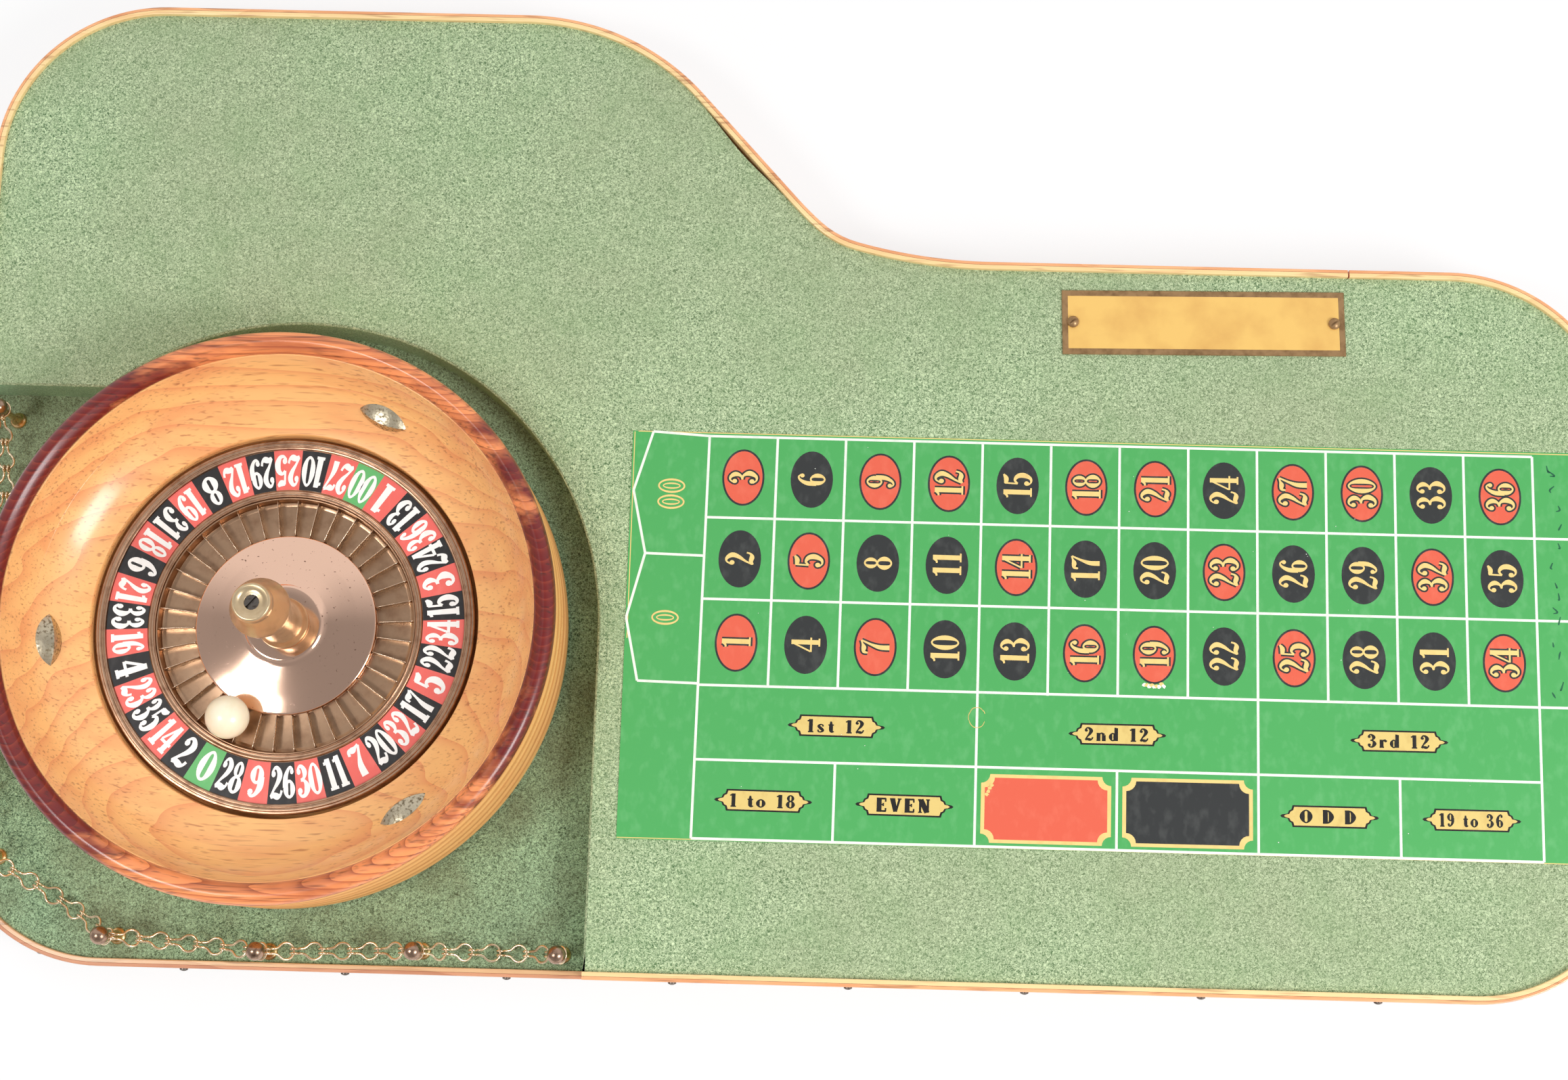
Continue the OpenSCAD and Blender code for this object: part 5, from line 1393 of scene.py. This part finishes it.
for k in range(POCKETS):
    add_fret(ZERO_ANGLE + (k + 0.5) * pitch)
# Kind 1, the frets, takes the paler bronze: painted highlight along the fret tops.
pockets = pocket_mesh.build("pocket_ring_cast", [pocket_bronze, fret_highlight_bronze], "rotor", slot="pocket_bronze")
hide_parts("pocket_ring")
print("frets:", POCKETS, "each", round(fret_top - pocket_floor, 1), "mm high")

# %% [markdown]
# The cone is copper sheet spun over a form: a shallow hollow slope that rises from the pockets to a raised
# ring round the hub. Sheet is thin, so the profile goes up along the outer side and comes back a sheet's
# thickness below it. Heights are shares of the rise, so the slope keeps its shape if the frame's cone gets
# higher.

# %% Cone
cone_top = measures("cone")[1].z - wheel.z
edge_h = fret_top - 0.4
rise = cone_top - edge_h
BOSS_R = 18.8
HUB_R = 8.6
METAL = 0.8
cone_line = [(POCKET_IN, edge_h - METAL), (POCKET_IN + 0.4, edge_h - 0.4)]
cone_line += [(r, edge_h + share * rise) for r, share in (
    (POCKET_IN, 0), (POCKET_IN - 8, 0.3), (POCKET_IN - 15, 0.53), (BOSS_R + 1, 0.74), (BOSS_R - 0.6, 0.84),
    (BOSS_R - 1.8, 1), (HUB_R + 0.1, 1))]
cone_line += [(r, edge_h + share * rise - METAL) for r, share in (
    (HUB_R + 0.1, 1), (BOSS_R - 2.2, 1), (BOSS_R - 1, 0.84), (POCKET_IN - 8, 0.3))]
lathe("cone_spun", cone_line, cone_copper, "rotor", "cone", radius=0.6, slot="cone_copper")
print("cone rises", round(rise, 2), "mm")

# %% [markdown]
# The turret is the handle of the rotor: a flange, a waisted barrel, a collar and a button with a screw in
# it. It could be turned from one bar. The waist and the rounded collar are what fingers hold, and their
# heights are shares of the turret's height, taken from the frame.

# %% Turret
turret_low, turret_high = measures("turret")
turret_base = turret_low.z - wheel.z
turret_h = turret_high.z - turret_low.z
BASE_R = 11.7
COLLAR_R = 13.2
SCREW_R = 3.2
BORE_R = 2.0
BORE_DEPTH = 4.2
HUB_DEPTH = 10.1
turret_curve = [
    (BASE_R, 0), (BASE_R, 0.035), (BASE_R - 1, 0.06), (BASE_R - 1.9, 0.09), (BASE_R - 2.4, 0.16),
    (BASE_R - 3, 0.3), (BASE_R - 3.1, 0.42), (BASE_R - 2.4, 0.55), (BASE_R - 1.1, 0.64),
    (COLLAR_R - 0.5, 0.68), (COLLAR_R, 0.7), (COLLAR_R, 0.73), (COLLAR_R - 0.4, 0.75), (COLLAR_R - 1.6, 0.8),
    (COLLAR_R - 3, 0.86), (COLLAR_R - 4.2, 0.905), (COLLAR_R - 4.6, 0.92), (COLLAR_R - 4.3, 0.935),
    (COLLAR_R - 4.3, 0.965), (COLLAR_R - 4.8, 0.99), (COLLAR_R - 5.6, 1)]
top_h = turret_base + turret_h
turret_curve = [(HUB_R + 0.1, turret_base)] + [(r, turret_base + f * turret_h) for r, f in turret_curve]
turret_curve += [(6.2, top_h - 0.5), (5.2, top_h - 1.2), (SCREW_R + 0.3, top_h - 1.4), (SCREW_R, top_h - 1.5),
                 (SCREW_R, top_h - BORE_DEPTH), (BORE_R, top_h - BORE_DEPTH),
                 (BORE_R, turret_base + HUB_DEPTH), (HUB_R + 0.1, turret_base + HUB_DEPTH)]
lathe("turret_turned", turret_curve, turret_brass, "rotor", "turret", steps=160, radius=0.9,
      slot="turret_gilt")
print("turret", round(turret_h, 1), "mm high")

# %% [markdown]
# The ball is polished but not perfect: a slow ripple of one or two hundredths of a millimetre keeps its
# highlight alive. Blender has a ready-made sphere, but with its own rings of points the ripple can be put
# in directly.

# %% Ball
BALL_RIPPLE = 0.015
SKIN = 0.02
ball_low, ball_high = measures("ivory_ball")
ball_middle = (ball_low + ball_high) / 2
ball_r = (ball_high.z - ball_low.z) / 2 - SKIN


def ball_piece(rings=40, slices=64):
    points = [ball_middle + Vector((0, 0, ball_r))]
    for i in range(1, rings):
        a = math.pi * i / rings
        for k in range(slices):
            b = 2 * math.pi * k / slices
            way = Vector((math.sin(a) * math.cos(b), math.sin(a) * math.sin(b), math.cos(a)))
            points.append(ball_middle + way * (ball_r + BALL_RIPPLE * noise.noise(way * 2.5)))
    points.append(ball_middle - Vector((0, 0, ball_r)))
    last = len(points) - 1
    faces = [(0, 1 + k, 1 + (k + 1) % slices) for k in range(slices)] + skin(rings - 1, slices, start=1)
    start = 1 + (rings - 2) * slices
    faces += [(last, start + (k + 1) % slices, start + k) for k in range(slices)]
    made = build("ball_polished", points, faces, [ivory], "ball", slot="ball_ivory")
    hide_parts("ivory_ball")


ball_piece()
print("ball", round(2 * ball_r, 1), "mm")

# %% [markdown]
# The fence stands along the left and the front of the recess: eight turned posts with dark balls on top. A
# post is a foot with a few curves, a thin shaft and a neck under the ball. All eight are alike, so one
# profile is turned at each place that the frame gives.

# %% Posts
posts = [(spot.x, spot.y) for spot, _ in solids("fence_balls")]
BALL_R = 4.1
POST_R = 1.5
post_heap = Heap()
post_foot = measures("fence_posts")[0].z


def turned_at(heap, spot, curve, steps):
    """A curve from the axis up and back to the axis, turned about a post."""
    faces = skin(steps, len(curve), round_rows=True, round_columns=False)
    heap.add(turned(Vector((*spot, 0)), curve, steps), faces)


ball_z = measures("fence_balls")[1].z - BALL_R
neck_z = ball_z - BALL_R
post_curve = [(0.01, post_foot), (POST_R, post_foot + 0.05), (POST_R, floor_z)]
post_curve += [(r, floor_z + up) for r, up in (
    (3.8, 0), (3.8, 0.7), (3.45, 1.25), (2.8, 1.6), (2.2, 2.4), (1.7, 3.6), (POST_R, 4.8))]
post_curve += [(r, neck_z + up) for r, up in ((POST_R, -1.2), (1.9, -0.8), (1.9, -0.3), (1.1, 0.1))]
post_curve += [(1.0, ball_z), (0.01, ball_z)]
turns = [math.pi * k / 24 for k in range(2, 24)]
ball_curve = [(BALL_R * math.sin(t), ball_z - BALL_R * math.cos(t)) for t in turns]
ball_curve = [(1.05, ball_curve[0][1])] + ball_curve + [(0.01, ball_z + BALL_R)]
ball_heap = Heap()
for spot in posts:
    turned_at(post_heap, spot, soften(post_curve, 0.25, closed=False), 32)
    turned_at(ball_heap, spot, ball_curve, 40)
post_piece = post_heap.build("fence_posts_turned", [post_brass], "table", slot="post_brass")
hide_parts("fence_posts")
ball_part = ball_heap.build("fence_balls_turned", [ball_bronze], "table", slot="ball_bronze")
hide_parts("fence_balls")
print("posts:", len(posts))

# %% [markdown]
# The chain is made of bent wire, not of closed rings. A link is one wire: a round bow, two legs that pinch
# together, and a small eye at each leg's end that hooks round the bow before it. Half of the wire is
# written down, the other half is its mirror image, and a curve through the points rounds every bend.

# %% Link
WIRE_R = 0.55
LINK_PITCH = 12.5
LINK_R = 3.65
EYE_R = 1.45
LEG_Y = 1.05
LINK_SLACK = 1.07
HANG = 4.7
hang_z = ball_z - HANG


def link_wire():
    """One bent wire in its own frame: the eyes at the origin, the bow's crown at LINK_PITCH."""
    bow_x = LINK_PITCH - LINK_R
    right = [(-EYE_R * math.cos(math.radians(t)), LEG_Y - 0.1, EYE_R * math.sin(math.radians(t)))
             for t in range(300, -61, -40)]
    right += [(EYE_R + 0.8, LEG_Y, 0.0), (EYE_R + 2.0, LEG_Y + 0.05, 0.0)]
    right.append((bow_x - LINK_R - 0.2, LEG_Y + 0.45, 0.0))
    for degrees in range(138, -1, -23):
        a = math.radians(degrees)
        right.append((bow_x + LINK_R * math.cos(a), LINK_R * math.sin(a), 0.0))
    left = [(x, -y, z) for x, y, z in reversed(right[:-1])]
    return [tuple(p) for p in smooth_path(right + left, 3)]


link_path = link_wire()
print("points of one link:", len(link_path))

# %% [markdown]
# A hanging chain is a curve whose slope grows evenly along its length. A physics run could let it fall, but
# the answer is known: each link slopes a little more than the one before, and the growth is searched until
# the links just span the gap between two posts. At a corner the last link of one span meets the next at an
# angle, so the next span starts a little lower and its links turn back level one by one.

# %% Chain
SPANS = 7
LEFT_SIDE = -350
SIDES_OF_WIRE = 7


def sag_slopes(span):
    """Slopes of the links of one span, from its first to its last."""
    count = math.ceil(span * LINK_SLACK / LINK_PITCH)
    low, high = 0.0, 3.0
    for _ in range(30):
        rate = (low + high) / 2
        slopes = [math.atan(rate * (i - (count - 1) / 2)) for i in range(count)]
        if sum(LINK_PITCH * math.cos(s) for s in slopes) > span:
            low = rate
        else:
            high = rate
    return slopes


side_posts = sorted([p for p in posts if p[0] < LEFT_SIDE], key=lambda p: -p[1])
front_posts = sorted([p for p in posts if p[0] >= LEFT_SIDE], key=lambda p: p[0])
fence = [Vector(p) for p in side_posts + front_posts]


def link_points(origin, way, slope, turn):
    """The wire of one link from an origin, along a level way, at a slope and turned about itself."""
    frame_x = Vector((way.x * math.cos(slope), way.y * math.cos(slope), math.sin(slope)))
    level_y = Vector((-way.y, way.x, 0))
    frame_y = level_y * math.cos(turn) + frame_x.cross(level_y) * math.sin(turn)
    frame_z = frame_x.cross(frame_y)
    return [origin + frame_x * px + frame_y * py + frame_z * pz for px, py, pz in link_path]


drop = 0.0
before_slope = before_way = None
for k in range(SPANS):
    run = fence[k + 1] - fence[k]
    way = run.normalized()
    slopes = sag_slopes(run.length)
    roll = 0.0
    if before_way is not None:
        drop += LINK_R * math.sin(before_slope) * (1 - before_way.dot(way))
        roll = -math.asin(math.sqrt(max(0.0, 1 - before_way.dot(way) ** 2)) * math.sin(before_slope))
    span = Heap()
    x, z = LINK_R, 0.0
    for i, slope in enumerate(slopes):
        origin = Vector((fence[k].x + way.x * x, fence[k].y + way.y * x, hang_z - drop + z))
        turn = roll * (1 - i / (len(slopes) - 1))
        span.add(*tube(link_points(origin, way, slope, turn), WIRE_R, SIDES_OF_WIRE))
        x += LINK_PITCH * math.cos(slope)
        z += LINK_PITCH * math.sin(slope)
    piece = span.build("chain_wire_%d" % (k + 1), [chain_brass], "table", slot="chain_brass")
    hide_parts("chain_span_%d" % (k + 1))
    before_slope, before_way = slopes[-1], way
ring = Heap()
ring.add(*tube([(x, y, hang_z) for x, y in round_points(fence[0], LINK_R, 32)], WIRE_R, closed=True))
end_ring = ring.build("chain_end_wire", [chain_brass], "table", slot="chain_brass")
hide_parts("chain_end_ring")
print("chain spans:", SPANS)

# %% [markdown]
# The nameplate keeps its shape, border and worn brass, and is left without any words or picture. Stamped
# plate has a raised rim: five rectangles of points make the edge, its bevel, the rim and the step down to
# the field, and the field is one flat face with its own brass.

# %% Nameplate
PLATE_L = 131.4
PLATE_W = 30.9
PLATE_TILT = math.radians(0.9)
RIM = 2.6
plate = solids("nameplate")[0][0]
plate_low, plate_high = measures("nameplate")
plate_heap = Heap()


def plate_ring(inset, z):
    a, b = PLATE_L / 2 - inset, PLATE_W / 2 - inset
    cos, sin = math.cos(PLATE_TILT), math.sin(PLATE_TILT)
    return [(plate.x + x * cos - y * sin, plate.y + x * sin + y * cos, z)
            for x, y in ((a, b), (-a, b), (-a, -b), (a, -b))]


levels = [(0, plate_low.z, 1), (0, plate_high.z - 0.25, 1), (0.25, plate_high.z, 1), (RIM, plate_high.z, 1),
          (RIM + 0.15, plate_high.z - 0.12, 0)]
rows = [plate_ring(inset, z) for inset, z, _ in levels]
for (_, _, kind), lower, upper in zip(levels, rows, rows[1:]):
    plate_heap.add(lower + upper, [(i, (i + 1) % 4, 4 + (i + 1) % 4, 4 + i) for i in range(4)], kind)
plate_heap.add(rows[-1], [(0, 1, 2, 3)], 0)
plate_heap.add(rows[0], [(3, 2, 1, 0)], 1)
plate_piece = plate_heap.build("nameplate_blank", [plate_gold, plate_bronze], "table", smooth=False,
                               slot="plate_brass")
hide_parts("nameplate")
print("nameplate", PLATE_L, "x", PLATE_W, "mm, its field", round(PLATE_L - 2 * RIM, 1), "mm long")

# %% [markdown]
# Everything else keeps its own mesh, because its shape is right already or it is hardly seen, and gets its
# finish. That goes for the boards, the cloth of the recess floor, the three small cast ball deflectors, and
# the nails, screws, feet and bearings.

# %% Finishes of the carried pieces
finishes = {
    "base_board": ply_core, "deck_board": ply_core, "recess_floor_felt": floor_baize,
    "edge_nails": nail_steel, "deck_screws": plain_steel, "rubber_feet": rubber, "foot_screws": plain_steel,
    "layout_sheet": sheet_green, "nameplate_screws": plate_bronze, "spindle": plain_steel,
    "spindle_screws": plain_steel, "thrust_ball": plain_steel, "rotor_casting": ring_bronze,
    "hub_bush": bush_brass, "turret_screw": nail_steel, "ball_deflectors": pewter,
}
for name, mat in finishes.items():
    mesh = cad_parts[name].data
    mesh.materials.clear()
    mesh.materials.append(mat)
print("carried pieces:", len(finishes))

# %% [markdown]
# Last, the size: the dressed object is meant to stay as big as the frame it was given.
